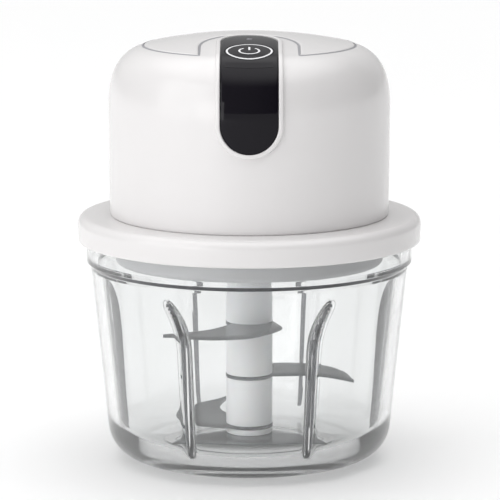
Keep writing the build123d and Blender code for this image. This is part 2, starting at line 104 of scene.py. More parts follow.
@dataclass(frozen=True)
class Finish:
    """One real material and the way that its surface was made."""

    name: str
    slot: str
    colour: str
    tint: str
    roughness: float
    metallic: float = 0.0
    ior: float = 1.5
    coat: float = 0.0
    coat_roughness: float = 0.05
    subsurface: float = 0.0
    patch_mm: float = 18.0
    grain_mm: float = 0.5
    grain: Grain = Grain.EVEN
    depth_mm: float = 0.004
    spread: float = 0.05
    anisotropic: float = 0.0

    def build(self) -> bpy.types.Material:
        """Make the material: broad colour drift, and fine grain in roughness and height.

        Returns:
            The material, named for the finish.
        """
        material = bpy.data.materials.new(self.name)
        material.use_nodes = True
        tree = material.node_tree
        tree.nodes.clear()
        place = add_node(tree, "ShaderNodeTexCoord").outputs["Object"]
        patches = add_node(tree, "ShaderNodeTexNoise",
                           {"Scale": 1.0 / (self.patch_mm * MM), "Detail": 3.0, "Roughness": 0.5},
                           {"Vector": place}).outputs["Fac"]
        mixed = add_node(tree, "ShaderNodeMix", {"data_type": "RGBA", "clamp_factor": True}, {0: patches})
        mixed.inputs[6].default_value = srgb(self.colour)
        mixed.inputs[7].default_value = srgb(self.tint)
        stretched = add_node(tree, "ShaderNodeMapping", {"Scale": self.grain.value}, {"Vector": place})
        fine = add_node(tree, "ShaderNodeTexNoise",
                        {"Scale": 1.0 / (self.grain_mm * MM), "Detail": 2.0},
                        {"Vector": stretched.outputs["Vector"]}).outputs["Fac"]
        rough = add_node(tree, "ShaderNodeMapRange",
                         {"To Min": max(0.0, self.roughness - self.spread),
                          "To Max": self.roughness + self.spread}, {"Value": fine})
        bump = add_node(tree, "ShaderNodeBump",
                        {"Strength": 0.5, "Distance": self.depth_mm * MM}, {"Height": fine})
        shader = add_node(tree, "ShaderNodeBsdfPrincipled",
                          {"Metallic": self.metallic, "IOR": self.ior, "Coat Weight": self.coat,
                           "Coat Roughness": self.coat_roughness,
                           "Subsurface Weight": self.subsurface, "Subsurface Scale": 1.5 * MM,
                           "Anisotropic": self.anisotropic},
                          {"Base Color": mixed.outputs[2], "Roughness": rough.outputs["Result"],
                           "Normal": bump.outputs["Normal"]})
        add_node(tree, "ShaderNodeOutputMaterial", None, {"Surface": shader.outputs["BSDF"]})
        return material


@dataclass(frozen=True)
class ClearFinish:
    """Polished clear SAN, injection moulded: it bends and mirrors light, and lets a lamp's light through."""

    name: str = "clear_san_polished"
    slot: str = "clear_bowl"
    colour: str = "#F8F9F9"
    ior: float = 1.49
    ripple_mm: float = 26.0
    ripple_depth_mm: float = 0.02
    clarity: float = 0.94

    def build(self) -> bpy.types.Material:
        """Make the clear plastic, with the faint long ripple that moulding leaves.

        Returns:
            The material.
        """
        material = bpy.data.materials.new(self.name)
        material.use_nodes = True
        tree = material.node_tree
        tree.nodes.clear()
        place = add_node(tree, "ShaderNodeTexCoord").outputs["Object"]
        ripple = add_node(tree, "ShaderNodeTexNoise", {"Scale": 1.0 / (self.ripple_mm * MM), "Detail": 0.0},
                          {"Vector": place}).outputs["Fac"]
        bump = add_node(tree, "ShaderNodeBump", {"Strength": 0.3, "Distance": self.ripple_depth_mm * MM},
                        {"Height": ripple})
        shader = add_node(tree, "ShaderNodeBsdfPrincipled",
                          {"Base Color": srgb(self.colour), "Roughness": 0.0, "IOR": self.ior,
                           "Transmission Weight": self.clarity}, {"Normal": bump.outputs["Normal"]})
        clear = add_node(tree, "ShaderNodeBsdfTransparent", {"Color": srgb("#FFFFFF")})
        path = add_node(tree, "ShaderNodeLightPath")
        both = add_node(tree, "ShaderNodeMixShader", None,
                        {0: path.outputs["Is Shadow Ray"], 1: shader.outputs["BSDF"],
                         2: clear.outputs["BSDF"]})
        add_node(tree, "ShaderNodeOutputMaterial", None, {"Surface": both.outputs["Shader"]})
        return material


# Each finish is a real material with its real process, apart from the two dark ones that paint shade; the
# comment says what that gives the eye.
FINISHES: dict[str, Finish | ClearFinish] = {
    # clear styrene-acrylonitrile, polished mould: sharp bright edges and no colour
    "clear": ClearFinish(),
    # the same clear plastic with a dark tint: painted shade on the rib crests and the step, standing in for
    # the dark lines that bent light gives there
    "clear_painted_shade": ClearFinish("clear_san_painted_shade", colour="#2C2D30"),
    # ABS moulded in a polished tool: even warm white with a soft broad sheen
    "white": Finish("white_abs_gloss_moulded", "white_abs", "#E5E3E3", "#E2E0E0", 0.24, coat=0.25,
                    coat_roughness=0.08, patch_mm=40.0, grain_mm=0.6, depth_mm=0.0015, spread=0.03),
    # the same ABS with a fine satin texture, under the lid where it meets food
    "plug": Finish("grey_abs_satin_moulded", "grey_abs", "#D2D2D4", "#CECED0", 0.38, patch_mm=30.0,
                   grain_mm=0.4, depth_mm=0.003),
    # black PMMA lens, back printed: deep, with mirror-like gloss
    "panel": Finish("black_acrylic_polished", "panel_black", "#0F0D13", "#110E16", 0.05, ior=1.28,
                     patch_mm=25.0, grain_mm=0.8, depth_mm=0.0004, spread=0.02),
    # white screen ink on the black panel: flat and a little matt
    "ink": Finish("white_screen_ink", "lamp", "#F4F4F6", "#EFEFF2", 0.45, patch_mm=3.0, grain_mm=0.15,
                  depth_mm=0.002),
    # acetal spacers, satin: slightly milky white
    "acetal": Finish("white_acetal_moulded", "white_pom", "#F4F4F5", "#F0F0F1", 0.34, subsurface=0.08,
                     patch_mm=14.0, grain_mm=0.35, depth_mm=0.003),
    # martensitic stainless sheet, stamped and satin ground along its length
    "blade": Finish("stainless_420_satin_ground", "blade_steel", "#4C5154", "#43484B", 0.22, metallic=1.0,
                    grain=Grain.ALONG_X, grain_mm=0.25, depth_mm=0.004, spread=0.08, anisotropic=0.4),
    # turned and polished steel pin
    "pin": Finish("stainless_pin_polished", "pin_steel", "#CFCFD0", "#C6C6C8", 0.12, metallic=1.0,
                  grain=Grain.ROUND_Z, grain_mm=0.3, depth_mm=0.001),
    # translucent silicone rubber: matt and slightly milky
    "silicone": Finish("silicone_moulded", "silicone", "#DCDCDD", "#D4D4D6", 0.6, subsurface=0.1,
                       patch_mm=9.0, grain_mm=0.3, depth_mm=0.006),
    # grey strip in the seam of the top cover: painted shade, standing in for the shadow in the gap between
    # cover and housing
    "seam_shade": Finish("grey_painted_seam_shade", "silicone", "#9C9CA0", "#949498", 0.55, patch_mm=9.0, grain_mm=0.2),
    # turned free-cutting brass: warm, with fine rings round the axis
    "brass": Finish("brass_turned", "brass", "#D9B76A", "#CBA557", 0.28, metallic=1.0, grain=Grain.ROUND_Z,
                    grain_mm=0.3, depth_mm=0.003),
    # enamelled copper wire, wound in layers: red-brown, with ridges as wide as the wire
    "copper": Finish("enamelled_copper_wire", "copper", "#B8602F", "#9D4A20", 0.3, metallic=0.9,
                     grain=Grain.ROUND_Z, grain_mm=0.5, depth_mm=0.08, coat=0.4),
    # zinc-plated steel: bright grey with a faint spangle
    "zinc": Finish("zinc_plated_steel", "zinc_steel", "#B9BDC1", "#A9ADB2", 0.34, metallic=1.0,
                   patch_mm=6.0, grain_mm=0.4, depth_mm=0.004, spread=0.08),
    # stacked core steel: dark, with the lines of its sheets
    "core": Finish("laminated_core_steel", "core_steel", "#5C5D60", "#4B4C4F", 0.5, metallic=0.8,
                   grain=Grain.ALONG_X, grain_mm=0.5, depth_mm=0.03),
    # nylon moulded dark: near black and satin
    "dark": Finish("dark_nylon_moulded", "dark_plastic", "#262628", "#1F1F21", 0.5, patch_mm=8.0,
                   grain_mm=0.3, depth_mm=0.005),
    # natural nylon, moulded: warm off-white, slightly translucent
    "nylon": Finish("natural_nylon_moulded", "gear_nylon", "#E4E0D0", "#DAD5C3", 0.42, subsurface=0.08,
                    patch_mm=8.0, grain_mm=0.3, depth_mm=0.004),
    # fibreglass board under green solder mask: dark green with a thin gloss
    "board": Finish("fibreglass_board_masked", "board_green", "#1E5A34", "#174B2B", 0.3, coat=0.4,
                    patch_mm=3.0, grain_mm=0.6, depth_mm=0.01),
    # heat-shrunk PVC sleeve: blue and glossy, drawn tight
    "sleeve": Finish("pvc_shrink_sleeve", "cell_sleeve", "#2B5F9E", "#25548E", 0.26, coat=0.3,
                     patch_mm=12.0, grain_mm=0.6, depth_mm=0.006),
    # milky acrylic light pipe, moulded, not lit: a dull grey dot
    "lamp": Finish("milky_light_pipe", "lamp", "#77757C", "#6C6A72", 0.3, patch_mm=1.0, grain_mm=0.2,
                   depth_mm=0.001),
}

NODE_FINISH: dict[str, tuple[str, ...]] = {
    "clear": ("bowl",),
    "pin": ("bowl_pin", "planet_pins", "motor_shaft"),
    "white": ("lid_collar", "motor_housing", "top_cover", "panel_bezel"),
    "plug": ("head_base",),
    "panel": ("panel_lens", "start_button"),
    "acetal": ("hub_core", "hub_collar", "hub_spacer_low", "hub_spacer_mid", "hub_spacer_high"),
    "blade": ("blade_top", "blade_middle", "blade_lower", "blade_bottom"),
    "silicone": ("lid_gasket", "shaft_seal", "port_cover"),
    "brass": ("output_bush", "motor_bushes", "hub_bushes", "motor_terminals"),
    "copper": ("windings", "commutator"),
    "zinc": ("motor_can", "charge_socket", "gear_screws", "sun_pinion", "carrier"),
    "core": ("armature_core", "motor_magnets"),
    "dark": ("motor_end_bell", "motor_brushes", "tact_switch", "battery_cradle", "leads"),
    "nylon": ("gear_ring", "gear_cover", "planet_gear_1", "planet_gear_2", "planet_gear_3", "drive_coupling"),
    "board": ("control_board", "charge_board"),
    "sleeve": ("battery_cell",),
    "lamp": ("status_light",),
}


@dataclass
class Dresser:
    """Keeps one Blender material for each finish and puts it on pieces."""

    made: dict[str, bpy.types.Material] = field(default_factory=dict)

    def material(self, key: str) -> bpy.types.Material:
        """Return the material of a finish, made on first use.

        Args:
            key: The finish.

        Returns:
            Its one Blender material.
        """
        if key not in self.made:
            self.made[key] = FINISHES[key].build()
        return self.made[key]

    def dress_cad(self) -> None:
        """Give every CAD node its finish through its own material slots."""
        for key, names in NODE_FINISH.items():
            for name in names:
                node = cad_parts[name]
                if not node.material_slots:
                    node.data.materials.append(self.material(key))
                for material_slot in node.material_slots:
                    material_slot.material = self.material(key)

    def piece(self, shape: bpy.types.Object, key: str, body: str, *replaced: str) -> bpy.types.Object:
        """Finish a new piece: give it its material and body, and hide the CAD nodes that it stands for.

        Args:
            shape: The piece's object.
            key: The finish.
            body: The CAD body that it rides on.
            replaced: CAD nodes that it stands for.

        Returns:
            The same object.
        """
        if not shape.data.materials:
            shape.data.materials.append(self.material(key))
        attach(shape, body)
        if replaced:
            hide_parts(*replaced)
        LOG.info("%s: %d faces on %s", shape.name, len(shape.data.polygons), body)
        return shape


# ---------------------------------------------------------------------------------------------- surfaces
def rounded(points: list[tuple[float, float]], radii: list[float], closed: bool = True,
            steps: int = 7) -> Array:
    """Round the corners of a flat outline with arcs.

    Each corner is replaced by an arc that touches both sides; the arc's centre lies on the corner's
    bisector, a distance radius / sin(half angle) away.

    Args:
        points: Corners in order.
        radii: One radius for each corner; 0 keeps it sharp.
        closed: Whether the last corner joins the first.
        steps: Points on each arc.

    Returns:
        An array of points, shape (n, 2).
    """
    corners = np.array(points, float)
    count = len(corners)
    out: list[Array] = []
    for i, radius in enumerate(radii):
        here = corners[i]
        ends = not closed and i in (0, count - 1)
        if radius <= 0 or ends:
            out.append(here[None])
            continue
        back = corners[i - 1] - here
        ahead = corners[(i + 1) % count] - here
        room = min(np.linalg.norm(back), np.linalg.norm(ahead))
        back, ahead = back / np.linalg.norm(back), ahead / np.linalg.norm(ahead)
        half = math.acos(np.clip(back @ ahead, -1, 1)) / 2
        reach = min(radius / math.tan(half), 0.49 * room)
        radius = reach * math.tan(half)
        middle = here + (back + ahead) / np.linalg.norm(back + ahead) * radius / math.sin(half)
        start, stop = here + back * reach - middle, here + ahead * reach - middle
        sweep = math.atan2(start[0] * stop[1] - start[1] * stop[0], start @ stop)
        turn = np.linspace(0, sweep, steps)
        out.append(middle + np.stack([start[0] * np.cos(turn) - start[1] * np.sin(turn),
                                      start[0] * np.sin(turn) + start[1] * np.cos(turn)], 1))
    return np.vstack(out)


def denser(outline: Array, step: float, closed: bool = True) -> Array:
    """Put extra points on an outline's long sides.

    Args:
        outline: Corner points.
        step: The longest gap that is left, in the units of the points.
        closed: Whether the last corner joins the first.

    Returns:
        The points with the extra ones between them.
    """
    ends = np.roll(outline, -1, 0) if closed else outline[1:]
    starts = outline if closed else outline[:-1]
    gaps = np.linalg.norm(ends - starts, axis=1)
    parts = [a + (b - a) * np.linspace(0, 1, max(1, math.ceil(g / step)), endpoint=False)[:, None]
             for a, b, g in zip(starts, ends, gaps)]
    if not closed:
        parts.append(outline[-1:])
    return np.vstack(parts)


def grid_object(name: str, grid: Array, wrap_rows: bool = False, wrap_columns: bool = False,
                sharp: float = 40.0) -> bpy.types.Object:
    """Turn a grid of points into a smooth mesh with its doubles merged and its faces outward.

    Args:
        name: The piece's name.
        grid: Points in millimetres, shape (rows, columns, 3).
        wrap_rows: Join the last row to the first.
        wrap_columns: Join the last column to the first.
        sharp: Edges that turn more than this many degrees stay sharp.

    Returns:
        The new object, at the origin.
    """
    return patch_object(name, [(grid, wrap_rows, wrap_columns)], sharp)


def patch_object(name: str, patches: list[tuple[Array, bool, bool]], sharp: float = 40.0) -> bpy.types.Object:
    """Join several grids of points into one mesh, merging the points that they share.

    Args:
        name: The piece's name.
        patches: For each grid, its points in millimetres and whether its rows and columns wrap.
        sharp: Edges that turn more than this many degrees stay sharp.

    Returns:
        The new object, at the origin.
    """
    points: list[Array] = []
    quads: list[Array] = []
    offset = 0
    for grid, wrap_rows, wrap_columns in patches:
        rows, columns = grid.shape[:2]
        index = np.arange(rows * columns).reshape(rows, columns) + offset
        if wrap_rows:
            index = np.vstack([index, index[:1]])
        if wrap_columns:
            index = np.hstack([index, index[:, :1]])
        corners = [index[:-1, :-1], index[:-1, 1:], index[1:, 1:], index[1:, :-1]]
        quads.append(np.stack(corners, -1).reshape(-1, 4))
        points.append(grid.reshape(-1, 3))
        offset += rows * columns
    mesh = bpy.data.meshes.new(name)
    mesh.from_pydata((np.vstack(points) * MM).tolist(), [], np.vstack(quads).tolist())
    work = bmesh.new()
    work.from_mesh(mesh)
    bmesh.ops.remove_doubles(work, verts=work.verts, dist=2e-6)
    bmesh.ops.dissolve_degenerate(work, edges=work.edges, dist=1e-7)
    bmesh.ops.recalc_face_normals(work, faces=work.faces)
    work.to_mesh(mesh)
    work.free()
    mesh.shade_smooth()
    mesh.set_sharp_from_angle(angle=math.radians(sharp))
    shape = bpy.data.objects.new(name, mesh)
    bpy.context.scene.collection.objects.link(shape)
    return shape


def settle(shape: bpy.types.Object, sharp: float) -> None:
    """Replace a shape's mesh by the result of its modifiers, and mark its sharp edges again.

    Args:
        shape: The object whose modifiers are applied.
        sharp: Edges that turn more than this many degrees stay sharp.
    """
    graph = bpy.context.evaluated_depsgraph_get()
    mesh = bpy.data.meshes.new_from_object(shape.evaluated_get(graph))
    shape.modifiers.clear()
    shape.data = mesh
    mesh.shade_smooth()
    mesh.set_sharp_from_angle(angle=math.radians(sharp))


def prism(name: str, ring: Array, push: Array) -> bpy.types.Object:
    """Make a closed prism from a flat ring of points pushed along a vector.

    Args:
        name: The shape's name.
        ring: Points in millimetres, shape (n, 3).
        push: The vector from one end to the other, in millimetres.

    Returns:
        The new object.
    """
    middle = np.broadcast_to(ring.mean(0), ring.shape)
    rows = [middle, ring, ring + push, middle + push]
    return grid_object(name, np.stack(rows), wrap_columns=True, sharp=60.0)


def carve(shape: bpy.types.Object, tools: list[bpy.types.Object], sharp: float = 60.0) -> None:
    """Cut closed tools out of a closed shape, and take the tools away again.

    Args:
        shape: The object that is cut.
        tools: The closed shapes that are taken out of it.
        sharp: Edges that turn more than this many degrees stay sharp.
    """
    for tool in tools:
        cut = shape.modifiers.new("cut", "BOOLEAN")
        cut.operation, cut.solver, cut.object = "DIFFERENCE", "EXACT", tool
    settle(shape, sharp)
    for tool in tools:
        bpy.data.objects.remove(tool)


def lathe(name: str, outline: Array, closed: bool = True, segments: int = 192) -> bpy.types.Object:
    """Turn an (r, z) outline about the Z axis: x = r cos a, y = r sin a.

    Args:
        name: The piece's name.
        outline: Points (r, z) in millimetres.
        closed: Whether the outline is a loop; if not, it starts and ends on the axis.
        segments: Steps round the axis.

    Returns:
        The new object.
    """
    angle = np.linspace(0, TAU, segments, endpoint=False)
    r, z = outline[:, :1], outline[:, 1:]
    grid = np.stack([r * np.cos(angle), r * np.sin(angle), np.broadcast_to(z, (len(r), segments))], -1)
    return grid_object(name, grid, wrap_rows=closed, wrap_columns=True)


# ---------------------------------------------------------------------------------------------- bowl
@dataclass
class Bowl:
    """The clear bowl: a turned wall with six ribs raised on its inner side."""

    foot_r: float = 23.7
    recess_r: float = 20.2
    recess_z: float = 0.8
    knee_r: float = 37.6
    knee_z: float = 2.3
    knee_fillet: float = 11.0
    step_r: float = 42.75
    step_z: float = 53.4
    band_r: float = 43.8
    band_z: float = 54.6
    wall: float = 2.8
    floor_z: float = 4.8
    boss_r: float = 3.5
    boss_z: float = 9.0
    pin_r: float = 2.0
    rib_angles: tuple[float, ...] = (0.0, 64.5, 115.5, 180.0, 244.5, 295.5)
    rib_top: float = 49.2
    rib_full: float = 39.0
    rib_half_width: float = 2.6
    rib_crest: float = 0.42
    rib_leans: tuple[float, ...] = (0.0, 0.0, 0.0, 0.0, -6.5, 6.5)
    rib_reach: float = 4.6
    rib_step: float = 0.24
    lean_z: float = 36.0
    # share of a rib's depth, at the sides and elsewhere, that gets the painted shade
    painted_shade_shares: tuple[float, float] = (0.28, 0.42)

    def outer_outline(self) -> Array:
        """Work out the outside, from the centre of the foot to the rim's top.

        Returns:
            Points (r, z).
        """
        rim_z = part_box("bowl")[1].z / MM
        points = [(0, self.recess_z), (self.recess_r, self.recess_z), (self.recess_r, 0), (self.foot_r, 0),
                  (self.knee_r, self.knee_z), (self.step_r, self.step_z), (self.band_r, self.band_z),
                  (self.band_r, rim_z), (self.band_r - self.wall / 2, rim_z)]
        radii = [0, 0.3, 0.3, 0.8, self.knee_fillet, 0.4, 0.4, 0.9, 0]
        return denser(rounded(points, radii, closed=False, steps=12), 1.6, closed=False)

    def inner_outline(self) -> Array:
        """Work out the inside, from the rim's top to the floor and up to the pin boss's bore.

        Returns:
            Points (r, z).
        """
        rim_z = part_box("bowl")[1].z / MM
        slope = (self.step_r - self.knee_r) / (self.step_z - self.knee_z)
        floor_r = self.knee_r - self.wall + slope * (self.floor_z - self.knee_z)
        points = [(self.band_r - self.wall / 2, rim_z), (self.band_r - self.wall, rim_z),
                  (self.band_r - self.wall, self.band_z + 1.0), (self.step_r - self.wall, self.step_z - 1.0),
                  (floor_r, self.floor_z), (self.boss_r, self.floor_z), (self.boss_r, self.boss_z),
                  (self.pin_r, self.boss_z), (self.pin_r, self.floor_z), (0, self.floor_z)]
        radii = [0, 0.9, 0.6, 0.6, 8.5, 1.0, 0.3, 0, 0, 0]
        return denser(rounded(points, radii, closed=False, steps=14), 0.9, closed=False)

    def rib_depth(self, r: Array, z: Array) -> Array:
        """How far a rib's crest stands in from the wall at each (r, z) of the inner outline.

        The crest leaves the wall in a smooth curve under the step, runs down at full depth, and fades
        into the floor as the wall turns under.

        Args:
            r: Radii of the inner outline.
            z: Heights of the inner outline.

        Returns:
            Depths in millimetres.
        """
        crest = np.interp(z, [8.0, 18.0, 38.0, 46.0], [33.0, 33.8, 34.9, 35.6])
        full = np.clip(r - crest, 0, 3.4)
        rise = np.clip((self.rib_top - z) / (self.rib_top - self.rib_full), 0, 1)
        ease = np.sqrt(np.clip(1 - (1 - rise) ** 2.2, 0, 1))
        low = np.clip((z - self.floor_z) / 5.0, 0, 1)
        return full * ease * low * low * (3 - 2 * low) * (r > 20)

    def angles(self) -> Array:
        """Choose the angles of the grid, close together at the ribs.

        Returns:
            Angles in radians, in order.
        """
        even = np.linspace(0, 360, 150, endpoint=False)
        near = np.concatenate([np.arange(min(0.0, lean) - self.rib_reach,
                                         max(0.0, lean) + self.rib_reach, self.rib_step) + a
                               for a, lean in zip(self.rib_angles, self.rib_leans)])
        far = even[np.abs((even[:, None] - near + 180) % 360 - 180).min(1) > 0.3]
        return np.radians(np.sort(np.concatenate([near, far]) % 360))

    def build(self, dresser: Dresser) -> None:
        """Make the bowl: the outside is turned, and the inside is pushed in at the ribs.

        Within a rib the radius is less by depth times (1 - side) to the fourth power, where side runs
        from 0 at the crest to 1 at the rib's flank. The two front ribs lean aside near their tops.

        Args:
            dresser: Puts the finishes on.
        """
        angle = self.angles()
        outer, inner = self.outer_outline(), self.inner_outline()
        outline = np.vstack([outer, inner[1:]])
        inside = np.arange(len(outline)) >= len(outer)
        r = np.broadcast_to(outline[:, :1], (len(outline), len(angle))).copy()
        z = np.broadcast_to(outline[:, 1:], r.shape)
        depth = np.where(inside, self.rib_depth(outline[:, 0], outline[:, 1]), 0.0)[:, None]
        rise = np.clip((outline[:, 1] - self.lean_z) / (self.rib_top - self.lean_z), 0, 1)
        drift = np.where(inside, rise ** 2, 0)
        offset = np.min([np.abs((angle[None] - np.radians(a + lean * drift)[:, None] + math.pi) % TAU
                                - math.pi) for a, lean in zip(self.rib_angles, self.rib_leans)], axis=0)
        across = offset * np.maximum(r, 1.0)
        side = np.clip((across - self.rib_crest) / (self.rib_half_width - self.rib_crest), 0, 1)
        r -= depth * (1 - side) ** 4
        grid = np.stack([r * np.cos(angle), r * np.sin(angle), z], -1)
        shape = grid_object("clear_bowl", grid, wrap_columns=True, sharp=60.0)
        shape.data.materials.append(dresser.material("clear"))
        # second slot: the dark tint, painted shade on the rib crests and the step
        shape.data.materials.append(dresser.material("clear_painted_shade"))
        shape.data.polygons.foreach_set("material_index", self.face_slots(shape.data))
        dresser.piece(shape, "clear", "bowl", "bowl")

    def face_slots(self, mesh: bpy.types.Mesh) -> Array:
        """Choose each face's material: the rib crests and the step get the dark tint, painted shade for the
        dark lines that bent light gives there.

        Args:
            mesh: The bowl's mesh.

        Returns:
            For each face, the number of its material slot.
        """
        centre = np.empty(len(mesh.polygons) * 3)
        mesh.polygons.foreach_get("center", centre)
        x, y, z = centre.reshape(-1, 3).T / MM
        r = np.hypot(x, y)
        wall = self.inner_outline()
        wall = wall[(wall[:, 0] > 20) & (wall[:, 1] < self.step_z - 1.5)][::-1]
        wall_r = np.interp(z, wall[:, 1], wall[:, 0])
        depth = np.interp(z, wall[:, 1], self.rib_depth(wall[:, 0], wall[:, 1]))
        share = np.where(np.abs(y) < 5.0, *self.painted_shade_shares)
        # painted shade mask: rib crests and the outer step take the dark tint
        crest = (wall_r - r > share * np.maximum(depth, 0.5)) & (r > 20) & (z > 6.5) & (z < self.rib_top)
        step = (r > self.step_r) & (z > self.step_z + 0.35) & (z < self.band_z)
        return (crest | step).astype(np.int32)


# ---------------------------------------------------------------------------------------------- head form
@dataclass
class HeadForm:
    """The power head's outer surface, measured by the distance s up its front meridian."""

    base_r: float = 37.5
    base_z: float = 67.1
    wall_r: float = 37.72
    wall_z: float = 95.5
    pull_low: tuple[float, float] = (37.9, 104.5)
    pull_high: tuple[float, float] = (35.6, 110.6)
    widest_z: float = 99.0
    top_z: float = 111.0
    disc_r: float = 28.5
    disc_z: float = 112.55
    dome_z: float = 115.6
    path: Array = field(init=False)
    run: Array = field(init=False)
    normal: Array = field(init=False)

    def __post_init__(self) -> None:
        """Sample the meridian: straight wall, shoulder as a cubic curve with two pulls, and shallow dome.

        The shoulder is (1-t)^3 a + 3 (1-t)^2 t b + 3 (1-t) t^2 c + t^3 d; the dome is z = top - k r squared.
        """
        t = np.linspace(0, 1, 90)[:, None]
        a, b, c, d = np.array([(self.wall_r, self.wall_z), self.pull_low, self.pull_high,
                               (self.disc_r, self.disc_z)])
        shoulder = (1 - t) ** 3 * a + 3 * (1 - t) ** 2 * t * b + 3 * (1 - t) * t ** 2 * c + t ** 3 * d
        lower = np.vstack([[(self.base_r, self.base_z)], shoulder])
        r = np.linspace(self.disc_r, 0, 120)[1:]
        k = (self.dome_z - self.disc_z) / self.disc_r ** 2
        self.path = denser(np.vstack([lower, np.stack([r, self.dome_z - k * r * r], 1)]), 0.25, closed=False)
        self.run = np.concatenate([[0], np.cumsum(np.linalg.norm(np.diff(self.path, axis=0), axis=1))])
        step = np.gradient(self.path, self.run, axis=0)
        self.normal = np.stack([step[:, 1], -step[:, 0]], 1)
        self.normal /= np.linalg.norm(self.normal, axis=1)[:, None]

    def meridian(self, s: Array) -> tuple[Array, Array, Array, Array]:
        """Read the meridian at distances s up it.

        Args:
            s: Distances in millimetres.

        Returns:
            Radius, height, and the r and z parts of the outward normal.
        """
        columns = (self.path[:, 0], self.path[:, 1], self.normal[:, 0], self.normal[:, 1])
        r, z, nr, nz = (np.interp(s, self.run, c) for c in columns)
        return r, z, nr, nz

    def s_of_radius(self, r: Array) -> Array:
        """Return s where the dome or shoulder has radius r."""
        top = self.path[:, 1] >= self.widest_z
        return np.interp(-np.asarray(r), -self.path[top, 0], self.run[top])

    def s_of_height(self, z: float) -> float:
        """Return s where the wall has height z."""
        return float(np.interp(z, self.path[:, 1], self.run))

    def front(self, x: Array, s: Array, lift: Array | float = 0.0) -> Array:
        """Place points on the front: y is minus the root of r squared less x squared.

        Args:
            x: Sideways positions.
            s: Distances up the meridian, which give r and z.
            lift: Height over the surface, along its normal.

        Returns:
            Points, with a last axis of x, y and z.
        """
        r, z, nr, nz = self.meridian(s)
        y = -np.sqrt(np.maximum(r * r - x * x, 0.0))
        unit = np.maximum(r, 1e-6)
        return np.stack([x + nr * x / unit * lift, y + nr * y / unit * lift, z + nz * lift], -1)

    def above(self, x: Array, y: Array, lift: Array | float = 0.0) -> Array:
        """Place points on the top or shoulder, where r is the root of x squared plus y squared.

        Args:
            x: Sideways positions.
            y: Positions from front to back.
            lift: Height over the surface, along its normal.

        Returns:
            Points, with a last axis of x, y and z.
        """
        r = np.hypot(x, y)
        _, z, nr, nz = self.meridian(self.s_of_radius(r))
        unit = np.maximum(r, 1e-6)
        return np.stack([x + nr * x / unit * lift, y + nr * y / unit * lift, z + nz * lift], -1)


